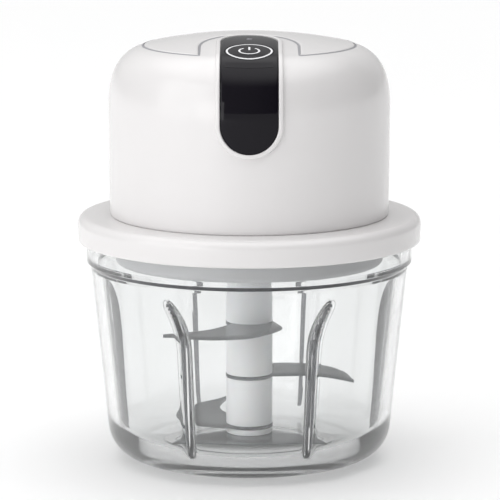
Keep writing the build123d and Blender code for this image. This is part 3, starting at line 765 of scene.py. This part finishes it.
@dataclass
class TopDisc:
    """The top cover, a shallow disc with a U-shaped notch at the front, and the outline that it shares."""

    form: HeadForm
    disc_r: float = 28.5
    notch_half: float = 13.0
    notch_y: float = -16.0
    gap: float = 0.46
    proud: float = 0.14
    edge: tuple[tuple[float, float], ...] = ((0.0, -1.6), (0.0, -0.7), (0.04, -0.28), (0.3, -0.06),
                                             (0.8, 0.0))
    # lifts of the grey seam strip, which is painted shade: its foot, outer top and inner top
    seam_shade: tuple[float, float, float] = (-1.2, -0.05, 0.1)

    def outline(self, inset: float) -> tuple[Array, Array]:
        """The cover's outline in plan, moved inward, as matched plan points and angles on the circle.

        The outline is an arc of the disc's circle, a straight side of the notch, its half round and
        the other side.

        Args:
            inset: Distance that the outline is moved into the cover.

        Returns:
            Points (n, 2), and for each the angle at which it joins the circle outside the notch.
        """
        radius = self.disc_r - inset
        half = self.notch_half + inset
        foot = math.asin(half / radius)
        start, stop = -math.pi / 2 + foot, 1.5 * math.pi - foot
        angle = np.linspace(start, stop, 260)
        arc = radius * np.stack([np.cos(angle), np.sin(angle)], 1)
        mouth_y = -radius * math.cos(foot)
        side = np.linspace(mouth_y, self.notch_y, 30)[1:-1]
        turn = np.linspace(math.pi, 0, 80)
        bow = np.stack([half * np.cos(turn), self.notch_y + half * np.sin(turn)], 1)
        notch = np.vstack([np.stack([np.full_like(side, -half), side], 1), bow,
                           np.stack([np.full_like(side, half), side[::-1]], 1)])
        run = np.concatenate([[0], np.cumsum(np.linalg.norm(np.diff(notch, axis=0), axis=1))])
        across = -math.pi / 2 - foot + 2 * foot * (run + 0.6) / (run[-1] + 1.2)
        points = np.vstack([arc, notch])
        for _ in range(3):
            points = self.soften(points, len(arc))
        return points, np.concatenate([angle, across])

    def soften(self, points: Array, arc_end: int) -> Array:
        """Average the outline's two mouth corners with their neighbours, which rounds them.

        Args:
            points: The outline in plan.
            arc_end: Where the arc ends and the notch starts.

        Returns:
            The outline, with its corners softened.
        """
        near = np.zeros(len(points), bool)
        near[:2] = near[arc_end - 2:arc_end + 2] = near[-2:] = True
        mean = (np.roll(points, 1, 0) + points + np.roll(points, -1, 0)) / 3
        return np.where(near[:, None], mean, points)

    def build(self, dresser: Dresser) -> None:
        """Make the cover between its round edge and its notch, both turned down at the rim.

        A point is notch + (arc - notch) s, where both edges run from one mouth corner to the other.

        Args:
            dresser: Puts the finishes on.
        """
        radius, half = self.disc_r - self.gap / 2, self.notch_half + self.gap / 2
        foot = math.asin(half / radius)
        share = (1 - np.cos(np.linspace(0, math.pi, 241))) / 2
        angle = -math.pi / 2 + foot + (TAU - 2 * foot) * share
        out = np.stack([np.cos(angle), np.sin(angle)], 1)
        arc = radius * out
        side = self.notch_y + radius * math.cos(foot)
        run = share * (2 * side + math.pi * half)
        bend = np.clip((run - side) / half, 0, math.pi)
        straight = np.where(run < side, side - run, np.clip(run - side - math.pi * half, 0, None))
        away = np.stack([np.cos(bend), np.sin(bend)], 1)
        notch = half * away + np.array([0, self.notch_y]) - straight[:, None] * np.array([0, 1.0])
        near = np.clip(np.linalg.norm(arc - notch, axis=1) / 3.0, 0, 1)[:, None]
        low = [notch + near * away * inset for inset, _ in self.edge]
        high = [arc - near * out * inset for inset, _ in self.edge]
        middle = [low[-1] + (high[-1] - low[-1]) * s for s in np.linspace(0, 1, 26)[1:-1]]
        plan = np.stack(low + middle + high[::-1])
        fall = [drop for _, drop in self.edge]
        lift = np.array(fall + [0.0] * len(middle) + fall[::-1]) + self.proud
        grid = self.form.above(plan[..., 0], plan[..., 1], np.broadcast_to(lift[:, None], plan.shape[:2]))
        shape = grid_object("top_cover_disc", grid, wrap_rows=True, sharp=70.0)
        dresser.piece(shape, "white", "power_head", "top_cover")
        # a grey strip in the seam: painted shade for the shadow in the gap round the cover
        outer, inner = (self.outline(side * self.gap / 2)[0].T for side in (-1, 1))
        foot, low, high = self.seam_shade
        grid = np.stack([self.form.above(*line, lift) for line, lift in
                         ((outer, foot), (outer, low), (inner, high), (inner, foot))])
        seam_shade = grid_object("top_cover_seam_shade", grid, wrap_rows=True, wrap_columns=True, sharp=60.0)
        dresser.piece(seam_shade, "seam_shade", "power_head")


@dataclass
class Housing:
    """The motor housing: one smooth shell from the collar to the opening for the top cover."""

    form: HeadForm
    disc: TopDisc
    panel: "Panel"
    wall: float = 2.2
    margin: float = 0.9
    outside_y: float = 42.0
    button_gap: float = 0.15
    pocket: tuple[float, float, float, float, float] = (7.2, 70.0, 78.45, 36.2, 0.8)
    socket: tuple[float, float, float, float, float] = (4.7, 72.15, 75.85, 30.0, 1.8)

    def build(self, dresser: Dresser) -> None:
        """Make the shell, and cut the port's recess, its socket's hole and the button's hole out of it.

        Rows run from the base, up the wall, in to the opening's edge, and back down the inside. Near the
        opening a point is circle + (edge - circle) share.

        Args:
            dresser: Puts the finishes on.
        """
        form = self.form
        points, angle = self.disc.outline(-self.disc.gap / 2)
        circle = form.disc_r + self.margin
        s_top = float(form.s_of_radius(np.array([circle]))[0])
        s = np.concatenate([[0.0, 0.25, 0.6], np.linspace(1.2, form.s_of_height(101.0), 34),
                            np.linspace(form.s_of_height(101.8), s_top, 40)])
        r, z, _, _ = form.meridian(s)
        inset = np.concatenate([[0.35, 0.1, 0.0], np.zeros(len(s) - 3)])
        wall = np.stack([(r - inset)[:, None] * np.cos(angle), (r - inset)[:, None] * np.sin(angle),
                         np.broadcast_to(z[:, None], (len(s), len(angle)))], -1)
        ring = circle * np.stack([np.cos(angle), np.sin(angle)], 1)
        share = np.concatenate([np.linspace(0.08, 0.9, 12), [0.955, 0.985, 1.0, 1.0, 1.0]])
        lift = np.concatenate([np.zeros(12), [0.0, -0.03, -0.15, -0.8, -1.8]])
        plan = ring + (points - ring)[None] * share[:, None, None]
        edge = form.above(plan[..., 0], plan[..., 1], np.broadcast_to(lift[:, None], plan.shape[:2]))
        lip = form.above(plan[-1:, :, 0], plan[-1:, :, 1], np.full(plan[-1:, :, 0].shape, -self.wall))
        under = form.above(ring[None, :, 0], ring[None, :, 1], np.full((1, len(ring)), -self.wall))
        r, z, nr, nz = form.meridian(s[::-1])
        r, z = r - self.wall * nr, np.maximum(z - self.wall * nz, z[-1])
        inner = np.stack([r[:, None] * np.cos(angle), r[:, None] * np.sin(angle),
                          np.broadcast_to(z[:, None], (len(s), len(angle)))], -1)
        shape = grid_object("motor_housing_shell", np.concatenate([wall, edge, lip, under, inner]),
                            wrap_rows=True, wrap_columns=True, sharp=60.0)
        tools = []
        for half_x, low, high, deep, corner in (self.pocket, self.socket):
            flat = rounded([(-half_x, low), (half_x, low), (half_x, high), (-half_x, high)], [corner] * 4)
            port = np.stack([flat[:, 0], np.full(len(flat), deep), flat[:, 1]], -1)
            tools.append(prism("port_tool", port, np.array([0, self.outside_y - deep, 0])))
        centre, axis, along = self.panel.axis()
        turn = np.linspace(0, TAU, 96, endpoint=False)[:, None]
        reach = self.panel.button_r + self.button_gap
        button = centre - 5.0 * axis + reach * (np.cos(turn) * np.array([1.0, 0, 0]) + np.sin(turn) * along)
        tools.append(prism("button_tool", button, 8.0 * axis))
        carve(shape, tools)
        dresser.piece(shape, "white", "power_head", "motor_housing")


# ---------------------------------------------------------------------------------------------- panel
@dataclass
class Panel:
    """The black strip with its raised white bezel, the round button and the status light."""

    form: HeadForm
    half: float = 7.5
    low_z: float = 95.8
    rear_y: float = -15.0
    lens_lift: float = 0.6
    lens_thick: float = 0.9
    lens_edge: float = 0.5
    lens_drop: float = 0.25
    hole_margin: float = 1.2
    bezel_lift: float = 0.85
    bezel_wide: float = 1.15
    button_r: float = 6.4
    gap: float = 0.1
    button_y: float = -25.0
    tilt: float = 15.0
    mark_r: float = 5.85
    mark_line: float = 0.5
    arc_r: float = 2.6
    stem: tuple[float, float] = (0.6, 3.3)
    light_y: float = -13.0
    light_r: float = 0.8

    def limits(self, half: float) -> tuple[float, float]:
        """Return s at the front and rear ends of a strip of that half width."""
        rear_r = -(self.rear_y + half)
        return self.form.s_of_height(self.low_z - half), float(self.form.s_of_radius(np.array([rear_r]))[0])

    def width(self, s: Array, half: float) -> Array:
        """Work out the half width of the strip: a half round, a straight run, and a half round in plan.

        Args:
            s: Distances up the front meridian.
            half: Half width of the straight run.

        Returns:
            Half widths in millimetres.
        """
        r, z, _, _ = self.form.meridian(s)
        low = np.sqrt(np.clip(half ** 2 - np.clip(self.low_z - z, 0, half) ** 2, 0, None))
        depth = (r * r + self.rear_y ** 2 - half ** 2) / (2 * -self.rear_y)
        rear = np.sqrt(np.clip(r * r - depth * depth, 0, None))
        turn = math.hypot(self.rear_y, half)
        return np.where(z < self.low_z, low, np.where((r < turn) & (z > self.form.top_z), rear, half))

    def axis(self) -> tuple[Array, Array, Array]:
        """Work out the button's axis, which leans forward by the tilt.

        Returns:
            A point on the axis, the axis, and the direction up the slope of the button's face.
        """
        tilt = math.radians(self.tilt)
        centre = self.form.above(np.array(0.0), np.array(self.button_y), self.lens_lift)
        axis = np.array([0, -math.sin(tilt), math.cos(tilt)])
        return centre, axis, np.array([0, axis[2], -axis[1]])

    def on_button(self, u: Array, v: Array, lift: float | Array) -> Array:
        """Project points (u, v) of the button's plane along its axis onto the panel's surface.

        Each pass slides the point along the axis by its height error over the axis's upward part.

        Args:
            u: Sideways position in millimetres.
            v: Position up the slope in millimetres.
            lift: Height over the panel's surface.

        Returns:
            Points on the surface.
        """
        centre, axis, along = self.axis()
        base = centre + u[..., None] * np.array([1.0, 0, 0]) + v[..., None] * along
        shift = np.zeros(base.shape[:-1])
        for _ in range(12):
            here = base + shift[..., None] * axis
            r = np.hypot(here[..., 0], here[..., 1])
            _, z, _, nz = self.form.meridian(self.form.s_of_radius(r))
            shift += (z + self.lens_lift / np.maximum(nz, 0.5) - here[..., 2]) * 0.8
        return base + (shift[..., None] + np.asarray(lift)[..., None]) * axis

    def disc(self, name: str, radius: float) -> bpy.types.Object:
        """Make the round button: a closed cap that follows the strip's surface, with a skirt.

        Args:
            name: The piece's name.
            radius: The button's radius.

        Returns:
            The new object.
        """
        turn = np.linspace(0, TAU, 96, endpoint=False)
        share = np.array([0.0, 1.0, 1.0, 1.0, 0.99, 0.97, 0.94, 0.85, 0.7, 0.5, 0.3, 0.12, 0.0]) * radius
        lift = np.array([-1.8, -1.8, -0.8, -0.12, -0.03, -0.005, 0, 0, 0, 0, 0, 0, 0])
        u, v = share[:, None] * np.cos(turn), share[:, None] * np.sin(turn)
        return grid_object(name, self.on_button(u, v, np.broadcast_to(lift[:, None], u.shape)),
                           wrap_columns=True, sharp=60.0)

    def strip(self, name: str, path: Array, wide: float, closed: bool) -> bpy.types.Object:
        """Make a thin printed line: a flat section carried along a path in the button's plane.

        Args:
            name: The piece's name.
            path: Points (u, v).
            wide: The line's width.
            closed: Whether the path is a loop.

        Returns:
            The new object.
        """
        step = np.roll(path, -1, 0) - np.roll(path, 1, 0) if closed else np.gradient(path, axis=0)
        side = np.stack([-step[:, 1], step[:, 0]], 1) / np.linalg.norm(step, axis=1)[:, None]
        if not closed:
            path, side = (np.pad(part, ((1, 1), (0, 0)), "edge") for part in (path, side))
            side[[0, -1]] = 0.0
        across = np.array([-1.0, -1.0, -0.5, 0.5, 1.0, 1.0]) * wide / 2
        lift = np.array([-0.03, 0.01, 0.02, 0.02, 0.01, -0.03])
        plan = path[:, None] + side[:, None] * across[None, :, None]
        grid = self.on_button(plan[..., 0], plan[..., 1], np.broadcast_to(lift, plan.shape[:2]))
        return grid_object(name, grid, wrap_rows=closed, wrap_columns=True, sharp=80.0)

    def lens_rows(self, s: Array, half: float) -> Array:
        """Lay rows of points across the strip, a little lower at its edges.

        Args:
            s: Distances up the front meridian, one for each row.
            half: Half width of the strip.

        Returns:
            Points, shape (rows, columns, 3).
        """
        s_low, s_high = self.limits(half)
        width = self.width(s, half)[:, None]
        x = width * np.sin(np.linspace(-math.pi / 2, math.pi / 2, 33))
        ends = np.minimum(s - s_low, s_high - s)[:, None]
        near = np.clip(np.minimum(width - np.abs(x), ends) / self.lens_edge, 0, 1)
        lift = self.lens_lift - self.lens_drop * (1 - near) ** 2
        return self.form.front(x, s[:, None] * np.ones_like(x), lift)

    def lens(self) -> bpy.types.Object:
        """Make the black strip in three patches: in front of, round and behind the button's hole.

        Round the hole a point is loop + (rim - loop) share, where the loop is the patch's outline and the
        rim is the hole. The strip then gets its thickness inwards.

        Returns:
            The new object.
        """
        half = self.half - 0.02
        s_low, s_high = self.limits(half)
        hole = self.button_r + self.gap
        reach = hole + self.hole_margin
        s_a, s_b = self.form.s_of_radius(np.array([reach, -reach]) - self.button_y)
        quarter = math.pi / 2
        low = s_low + (s_a - s_low) * (1 - np.cos(np.linspace(0, quarter, 60)))
        high = s_b + (s_high - s_b) * np.sin(np.linspace(0, quarter, 40))
        sides = self.lens_rows(np.linspace(s_a, s_b, 33), half)
        bottom, top, left, right = sides[0], sides[-1], sides[:, 0], sides[:, -1]
        loop = np.vstack([bottom[:-1], right[:-1], top[::-1][:-1], left[::-1][:-1]])
        centre, _, along = self.axis()
        turn = np.arctan2((loop - centre) @ along, loop[:, 0] - centre[0])
        rim = self.on_button(hole * np.cos(turn), hole * np.sin(turn), 0.0)
        lined = loop + (rim - loop) * np.linspace(0, 1, 9)[:, None, None]
        s = self.form.s_of_radius(np.hypot(lined[..., 0], lined[..., 1]))
        inner = self.form.front(lined[..., 0], s, self.lens_lift)
        inner[0], inner[-1] = loop, rim
        shape = patch_object("panel_lens_strip", [(self.lens_rows(low, half), False, False),
                                                  (inner, False, True),
                                                  (self.lens_rows(high, half), False, False)], sharp=70.0)
        normals, centres = np.empty((2, len(shape.data.polygons) * 3))
        shape.data.polygons.foreach_get("normal", normals)
        shape.data.polygons.foreach_get("center", centres)
        if np.sum(normals * (centres - np.tile([0, 0, 60 * MM], len(centres) // 3))) < 0:
            shape.data.flip_normals()
        thick = shape.modifiers.new("thickness", "SOLIDIFY")
        thick.thickness, thick.offset = self.lens_thick * MM, -1.0
        settle(shape, 60.0)
        return shape

    def bezel(self) -> bpy.types.Object:
        """Make the raised white rim: a rounded section carried along the strip's outline.

        Returns:
            The new object.
        """
        half = self.half + self.bezel_wide / 2
        s_low, s_high = self.limits(half)
        quarter = np.linspace(0, math.pi / 2, 26)
        low = s_low + (self.form.s_of_height(self.low_z) - s_low) * (1 - np.cos(quarter))
        turn_s = float(self.form.s_of_radius(np.array([math.hypot(self.rear_y, half)]))[0])
        middle = np.linspace(low[-1], turn_s, 90)[1:-1]
        high = turn_s + (s_high - turn_s) * np.sin(quarter)
        s = np.concatenate([low, middle, high])
        x = self.width(s, half)
        x[0] = x[-1] = 0.0
        path_x = np.concatenate([x, -x[::-1][1:-1]])
        path_s = np.concatenate([s, s[::-1][1:-1]])
        path = self.form.front(path_x, path_s)
        up = self.form.front(path_x, path_s, 1.0) - path
        along = np.roll(path, -1, 0) - np.roll(path, 1, 0)
        along /= np.linalg.norm(along, axis=1)[:, None]
        side = np.cross(along, up)
        side /= np.linalg.norm(side, axis=1)[:, None]
        flank, top, foot = self.bezel_wide / 2, self.bezel_lift, -0.7
        section = rounded([(-flank, foot), (flank, foot), (flank, top), (-flank, top)], [0, 0, 0.32, 0.32],
                          steps=6)
        grid = path[:, None] + side[:, None] * section[None, :, :1] + up[:, None] * section[None, :, 1:]
        return grid_object("panel_bezel_rim", grid, wrap_rows=True, wrap_columns=True, sharp=60.0)

    def build(self, dresser: Dresser) -> None:
        """Make the strip, its bezel, the button with its printed mark, and the light.

        Args:
            dresser: Puts the finishes on.
        """
        dresser.piece(self.lens(), "panel", "power_head", "panel_lens")
        dresser.piece(self.bezel(), "white", "power_head", "panel_bezel")
        dresser.piece(self.disc("start_button_cap", self.button_r), "panel", "start_button", "start_button")
        self.marks(dresser)
        self.lamp(dresser)

    def marks(self, dresser: Dresser) -> None:
        """Print a plain ring on the button, and a power symbol of an open arc and a stem.

        Args:
            dresser: Puts the finishes on.
        """
        turn = np.linspace(0, TAU, 120, endpoint=False)
        ring = self.mark_r * np.stack([np.cos(turn), np.sin(turn)], 1)
        turn = np.radians(np.linspace(125, 415, 60))
        arc = self.arc_r * np.stack([np.cos(turn), np.sin(turn)], 1)
        stem = np.stack([np.zeros(12), np.linspace(*self.stem, 12)], 1)
        for name, path, closed in (("button_ring_mark", ring, True), ("button_power_arc", arc, False),
                                   ("button_power_stem", stem, False)):
            dresser.piece(self.strip(name, path, self.mark_line, closed), "ink", "start_button")

    def lamp(self, dresser: Dresser) -> None:
        """Make the status light: a small crowned disc, closed underneath.

        Args:
            dresser: Puts the finishes on.
        """
        turn = np.linspace(0, TAU, 32, endpoint=False)
        share = np.array([0.0, 1.0, 1.0, 0.85, 0.5, 0.0])[:, None] * self.light_r
        lift = self.lens_lift + np.array([-0.5, -0.5, 0.0, 0.05, 0.09, 0.1])[:, None]
        x, y = share * np.cos(turn), self.light_y + share * np.sin(turn)
        shape = grid_object("status_lamp", self.form.above(x, y, lift), wrap_columns=True)
        dresser.piece(shape, "lamp", "power_head", "status_light")


# ---------------------------------------------------------------------------------------------- lid
@dataclass
class Lid:
    """The lid: a white collar over the rim, the plug in the bowl's mouth and the gasket."""

    collar_r: float = 46.3
    plug_r: float = 36.1

    def build(self, dresser: Dresser) -> None:
        """Turn the collar and the plug from their sections.

        Args:
            dresser: Puts the finishes on.
        """
        low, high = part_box("lid_collar")[0].z / MM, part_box("lid_collar")[1].z / MM
        collar = rounded([(44.3, low), (46.05, low), (self.collar_r, high - 0.1), (37.3, high),
                          (30.0, high), (30.0, high - 2.2), (44.3, high - 2.2)],
                         [0.3, 0.6, 2.3, 0, 0.3, 0.3, 0.8], steps=10)
        shape = lathe("lid_collar_ring", denser(collar, 2.5), segments=256)
        dresser.piece(shape, "white", "power_head", "lid_collar")
        low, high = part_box("head_base")[0].z / MM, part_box("head_base")[1].z / MM
        plug = rounded([(7.4, low), (self.plug_r, low), (self.plug_r, high), (33.0, high),
                        (33.0, low + 2.2), (9.6, low + 2.2), (9.6, 63.9), (7.4, 63.9)],
                       [0.6, 1.4, 0.3, 0.3, 1.0, 1.0, 0.3, 0.3], steps=10)
        shape = lathe("plug_shell", denser(plug, 2.5), segments=224)
        dresser.piece(shape, "plug", "power_head", "head_base")


# ---------------------------------------------------------------------------------------------- blades
@dataclass
class BladeStack:
    """The hub with its spacers, three sickle blades and the two-winged bottom blade."""

    hub_r: float = 6.28
    core_r: float = 4.9
    bore_r: float = 5.2
    thick: float = 0.9
    edge: float = 0.12
    bevel: float = 2.6
    bend_from: float = 9.0
    bend_over: float = 20.0
    dresser: Dresser | None = None

    def section(self, outline: list[tuple[float, float]], radii: list[float], name: str, key: str,
                *replaced: str) -> None:
        """Turn one hub piece from its section and dress it."""
        shape = lathe(name, rounded(outline, radii, steps=6), segments=96)
        self.dresser.piece(shape, key, "blade_unit", *replaced)

    def sleeve(self, node: str, r_in: float, r_out: float) -> None:
        """Turn a plain sleeve with softened edges.

        Args:
            node: The CAD node that it stands for, which gives its height.
            r_in: Inner radius.
            r_out: Outer radius.
        """
        low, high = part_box(node)[0].z / MM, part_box(node)[1].z / MM
        low, high = low + 0.03, high - 0.03
        self.section([(r_in, low), (r_out, low), (r_out, high), (r_in, high)], [0, 0.22, 0.22, 0],
                     node + "_sleeve", "acetal", node)

    def blade(self, name: str, node: str, heel: Array, inner: Array, turn: float, tip_rise: float,
              mirror: bool = False) -> None:
        """Make a blade between an outer cutting edge and an inner edge, both smooth curves.

        A point is inner + (outer - inner) v; the flat is full thickness until the bevel, where it
        thins towards the cutting edge. Past the hub the arm bends up by tip_rise times the square
        of its share of the reach.

        Args:
            name: The piece's name.
            node: The CAD node that it stands for.
            heel: Points of the outer edge, from the heel to the tip.
            inner: Points of the inner edge, from the hub to the tip.
            turn: Rotation about the axis in degrees.
            tip_rise: How far the tip is bent up, in millimetres.
            mirror: Whether the arm is mirrored in X.
        """
        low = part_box(node)[0].z / MM
        count = 64
        outer_line, inner_line = spline(heel, count), spline(inner, count)
        width = np.linalg.norm(outer_line - inner_line, axis=1)[:, None]
        bevel = np.clip(self.bevel / np.maximum(width, 0.2), 0, 0.6)
        v = np.concatenate([np.zeros((count, 1)), (1 - bevel) * np.linspace(0.15, 1, 6), 1 - bevel * 0.5,
                            np.ones((count, 1))], axis=1)
        full, thin = self.thick / 2, self.edge / 2
        rise = np.array([full] * 7 + [(full + thin) / 2, thin])
        plan = inner_line[:, None] + (outer_line - inner_line)[:, None] * v[..., None]
        if mirror:
            plan = plan * np.array([-1.0, 1.0])
        a = math.radians(turn)
        x = plan[..., 0] * math.cos(a) - plan[..., 1] * math.sin(a)
        y = plan[..., 0] * math.sin(a) + plan[..., 1] * math.cos(a)
        reach = np.clip((np.hypot(x, y) - self.bend_from) / self.bend_over, 0, 1.1)
        z = low + full + tip_rise * reach ** 2
        top, bottom = np.stack([x, y, z + rise], -1), np.stack([x, y, z - rise], -1)
        grid = np.concatenate([top, bottom[:, ::-1]], axis=1)
        first, last = (row.mean(1, keepdims=True).repeat(grid.shape[1], 1) for row in (grid[:1], grid[-1:]))
        shape = grid_object(name, np.concatenate([first, grid, last]), wrap_columns=True, sharp=12.0)
        turn = np.linspace(0, TAU, 72, endpoint=False)
        ring = np.stack([self.bore_r * np.cos(turn), self.bore_r * np.sin(turn), np.full(72, low - 2.0)], -1)
        carve(shape, [prism("hub_tool", ring, np.array([0, 0, self.thick + 4.0]))], sharp=12.0)
        self.dresser.piece(shape, "blade", "blade_unit", node)

    def washer(self, node: str, name: str) -> None:
        """Make the steel ring by which a blade is clamped between two spacers.

        Args:
            node: The blade's CAD node, which gives its height.
            name: The piece's name.
        """
        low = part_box(node)[0].z / MM
        self.section([(self.core_r, low), (self.hub_r + 0.12, low), (self.hub_r + 0.12, low + self.thick),
                      (self.core_r, low + self.thick)], [0, 0.1, 0.1, 0], name, "blade")

    def build(self, dresser: Dresser) -> None:
        """Make the hub and every blade.

        Args:
            dresser: Puts the finishes on.
        """
        self.dresser = dresser
        top_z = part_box("blade_top")[1].z / MM
        hub_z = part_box("hub_core")[1].z / MM
        self.section([(self.core_r - 0.6, top_z), (self.hub_r, top_z), (self.hub_r, hub_z), (5.0, hub_z),
                      (5.0, hub_z - 8), (self.core_r - 0.6, hub_z - 8)],
                     [0, 0.22, 0.5, 0.3, 0, 0], "hub_head_sleeve", "acetal")
        for node, r_out in (("hub_spacer_high", self.hub_r), ("hub_spacer_mid", self.hub_r),
                            ("hub_spacer_low", self.hub_r), ("hub_collar", 7.1)):
            self.sleeve(node, self.core_r, r_out)
        inner = np.array([(4.9, -1.2), (10.0, -0.7), (16.0, -0.5), (22.0, -3.2), (27.9, -8.9)])
        top_inner = np.array([(4.9, -1.6), (10.0, -1.6), (16.0, -2.2), (22.0, -5.0), (28.2, -9.3)])
        flat = np.array([(-3.5, 6.0), (2.2, 11.9), (7.0, 14.6), (12.5, 14.9), (17.8, 13.1), (23.2, 8.6),
                         (26.6, 0.5), (27.8, -8.8)])
        drawn = np.array([(-3.5, 5.6), (2.8, 12.0), (8.0, 13.3), (13.5, 13.1), (19.9, 11.6), (25.6, 6.0),
                          (28.4, -1.0), (28.4, -9.2)])
        levels = (("top", drawn, top_inner, -121.0, 0.0), ("middle", flat, inner, 0.0, 0.0),
                  ("lower", flat, inner, 120.0, 1.1))
        for level, heel, hollow, turn, rise in levels:
            self.blade(f"{level}_blade_arm", f"blade_{level}", heel, hollow, turn, rise)
            self.washer(f"blade_{level}", f"{level}_blade_ring")
        back = np.array([(0.0, 6.9), (7.0, 3.0), (12.0, 0.0), (16.5, -4.5), (19.0, -11.0), (20.6, -20.5)])
        front = np.array([(0.0, -18.5), (6.0, -17.8), (12.0, -17.0), (17.0, -18.2), (20.6, -20.6)])
        for side, mirror in (("right", False), ("left", True)):
            self.blade(f"bottom_blade_{side}", "blade_bottom", back, front, 0.0, 0.0, mirror)
        self.washer("blade_bottom", "bottom_blade_ring")


def spline(points: Array, count: int) -> Array:
    """Carry a smooth curve through points: a Catmull-Rom cubic, at even steps of its parameter.

    Args:
        points: Points that the curve passes, shape (n, 2).
        count: How many points to return.

    Returns:
        Points on the curve, shape (count, 2).
    """
    padded = np.vstack([2 * points[0] - points[1], points, 2 * points[-1] - points[-2]])
    u = np.linspace(0, len(points) - 1, count)
    i = np.minimum(u.astype(int), len(points) - 2)
    t = (u - i)[:, None]
    p0, p1, p2, p3 = padded[i], padded[i + 1], padded[i + 2], padded[i + 3]
    return 0.5 * (2 * p1 + (p2 - p0) * t + (2 * p0 - 5 * p1 + 4 * p2 - p3) * t ** 2
                  + (3 * p1 - p0 - 3 * p2 + p3) * t ** 3)


# ---------------------------------------------------------------------------------------------- studio
@dataclass
class Studio:
    """The pale floor, the soft light and the camera."""

    aim_z: float = 0.0569
    distance: float = 0.8955
    elevation: float = 9.95
    lens: float = 238.75
    sides: tuple[tuple[float, float], ...] = ((0.0, 0.05), (0.06, 0.08), (0.2, 0.45), (0.5, 0.34),
                                              (0.7, 0.12), (0.86, 0.04), (1.0, 0.03))
    behind: tuple[float, float, float] = (0.45, 0.9, 0.5)
    overhead: tuple[float, float, float] = (0.55, 0.95, 2.1)
    floor_half: float = 30000.0
    lamps: tuple[tuple[str, tuple[float, float, float], float, float], ...] = (
        ("key", (-1.15, -0.75, 0.45), 1.15, 6.6), ("fill", (-0.55, -0.95, 0.12), 0.4, 1.2))

    def floor(self) -> None:
        """Make the pale floor, with a faint unevenness like painted board."""
        line = np.linspace(-self.floor_half, self.floor_half, 13)
        grid = np.stack(np.meshgrid(line, line, [0.0], indexing="ij"), -1)[:, :, 0]
        shape = grid_object("studio_floor", grid)
        finish = Finish("painted_board_matt", "white_abs", "#FBFBFB", "#F9F9F9", 0.7, patch_mm=300.0,
                        grain_mm=3.0, depth_mm=0.01)
        shape.data.materials.append(finish.build())

    def area(self, name: str, place: tuple[float, float, float], size: float, power: float) -> None:
        """Add a soft square lamp that points at the object.

        Args:
            name: The lamp's name.
            place: Its position in metres.
            size: Its side in metres.
            power: Its power in watts.
        """
        lamp = bpy.data.lights.new(name, "AREA")
        lamp.size = size
        lamp.energy = power
        shape = bpy.data.objects.new(name, lamp)
        shape.location = place
        shape.rotation_euler = (Vector((0, 0, 0.06)) - Vector(place)).to_track_quat("-Z", "Y").to_euler()
        bpy.context.scene.collection.objects.link(shape)

    def world(self) -> None:
        """Make the surroundings: a bright zone overhead and behind, dim sides, and a darker right.

        The brightness of a direction starts from a ramp over its X part, goes over to the back's
        brightness as its Y part grows, and to the overhead brightness as its Z part grows.
        """
        world = bpy.data.worlds.new("studio")
        bpy.context.scene.world = world
        world.use_nodes = True
        tree = world.node_tree
        tree.nodes.clear()
        direction = add_node(tree, "ShaderNodeTexCoord").outputs["Generated"]
        parts = add_node(tree, "ShaderNodeSeparateXYZ", None, {0: direction})
        across = add_node(tree, "ShaderNodeMapRange", {"From Min": -1.0, "From Max": 1.0},
                          {"Value": parts.outputs["X"]})
        ramp_node = add_node(tree, "ShaderNodeValToRGB", None, {0: across.outputs["Result"]})
        ramp = ramp_node.color_ramp
        for stop, (position, grey) in zip(ramp.elements[:], (self.sides[0], self.sides[-1])):
            stop.position, stop.color = position, (grey, grey, grey, 1)
        for position, grey in self.sides[1:-1]:
            ramp.elements.new(position).color = (grey, grey, grey, 1)
        colour = ramp_node.outputs["Color"]
        for axis, (low, high, grey) in (("Y", self.behind), ("Z", self.overhead)):
            share = add_node(tree, "ShaderNodeMapRange",
                             {"interpolation_type": "SMOOTHSTEP", "From Min": low, "From Max": high},
                             {"Value": parts.outputs[axis]})
            mixed = add_node(tree, "ShaderNodeMix", {"data_type": "RGBA"},
                             {0: share.outputs["Result"], 6: colour})
            mixed.inputs[7].default_value = (grey, grey, grey, 1)
            colour = mixed.outputs[2]
        tint = add_node(tree, "ShaderNodeBackground", {"Strength": 1.0}, {"Color": colour})
        add_node(tree, "ShaderNodeOutputWorld", None, {"Surface": tint.outputs["Background"]})

    def camera(self) -> None:
        """Place the camera in front, a little above, with a long lens."""
        data = bpy.data.cameras.new("camera")
        data.sensor_width = 36.0
        data.lens = self.lens
        data.shift_x = 0.0014
        shape = bpy.data.objects.new("camera", data)
        rise = math.radians(self.elevation)
        shape.location = (0.0, -self.distance * math.cos(rise), self.aim_z + self.distance * math.sin(rise))
        shape.rotation_euler = (math.pi / 2 - rise, 0.0, 0.0)
        bpy.context.scene.collection.objects.link(shape)
        bpy.context.scene.camera = shape

    def build(self) -> None:
        """Make the whole studio."""
        bpy.context.scene.view_settings.view_transform = "Standard"
        self.camera()
        self.floor()
        self.world()
        for name, place, size, power in self.lamps:
            self.area(name, place, size, power)


def main() -> None:
    """Build everything in order."""
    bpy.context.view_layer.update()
    dresser = Dresser()
    dresser.dress_cad()
    Studio().build()
    form = HeadForm()
    disc, panel = TopDisc(form), Panel(form)
    for part in (Bowl(), Lid(), Housing(form, disc, panel), disc, panel, BladeStack()):
        LOG.info("building the %s", type(part).__name__)
        part.build(dresser)


if __name__ == "__main__":
    main()
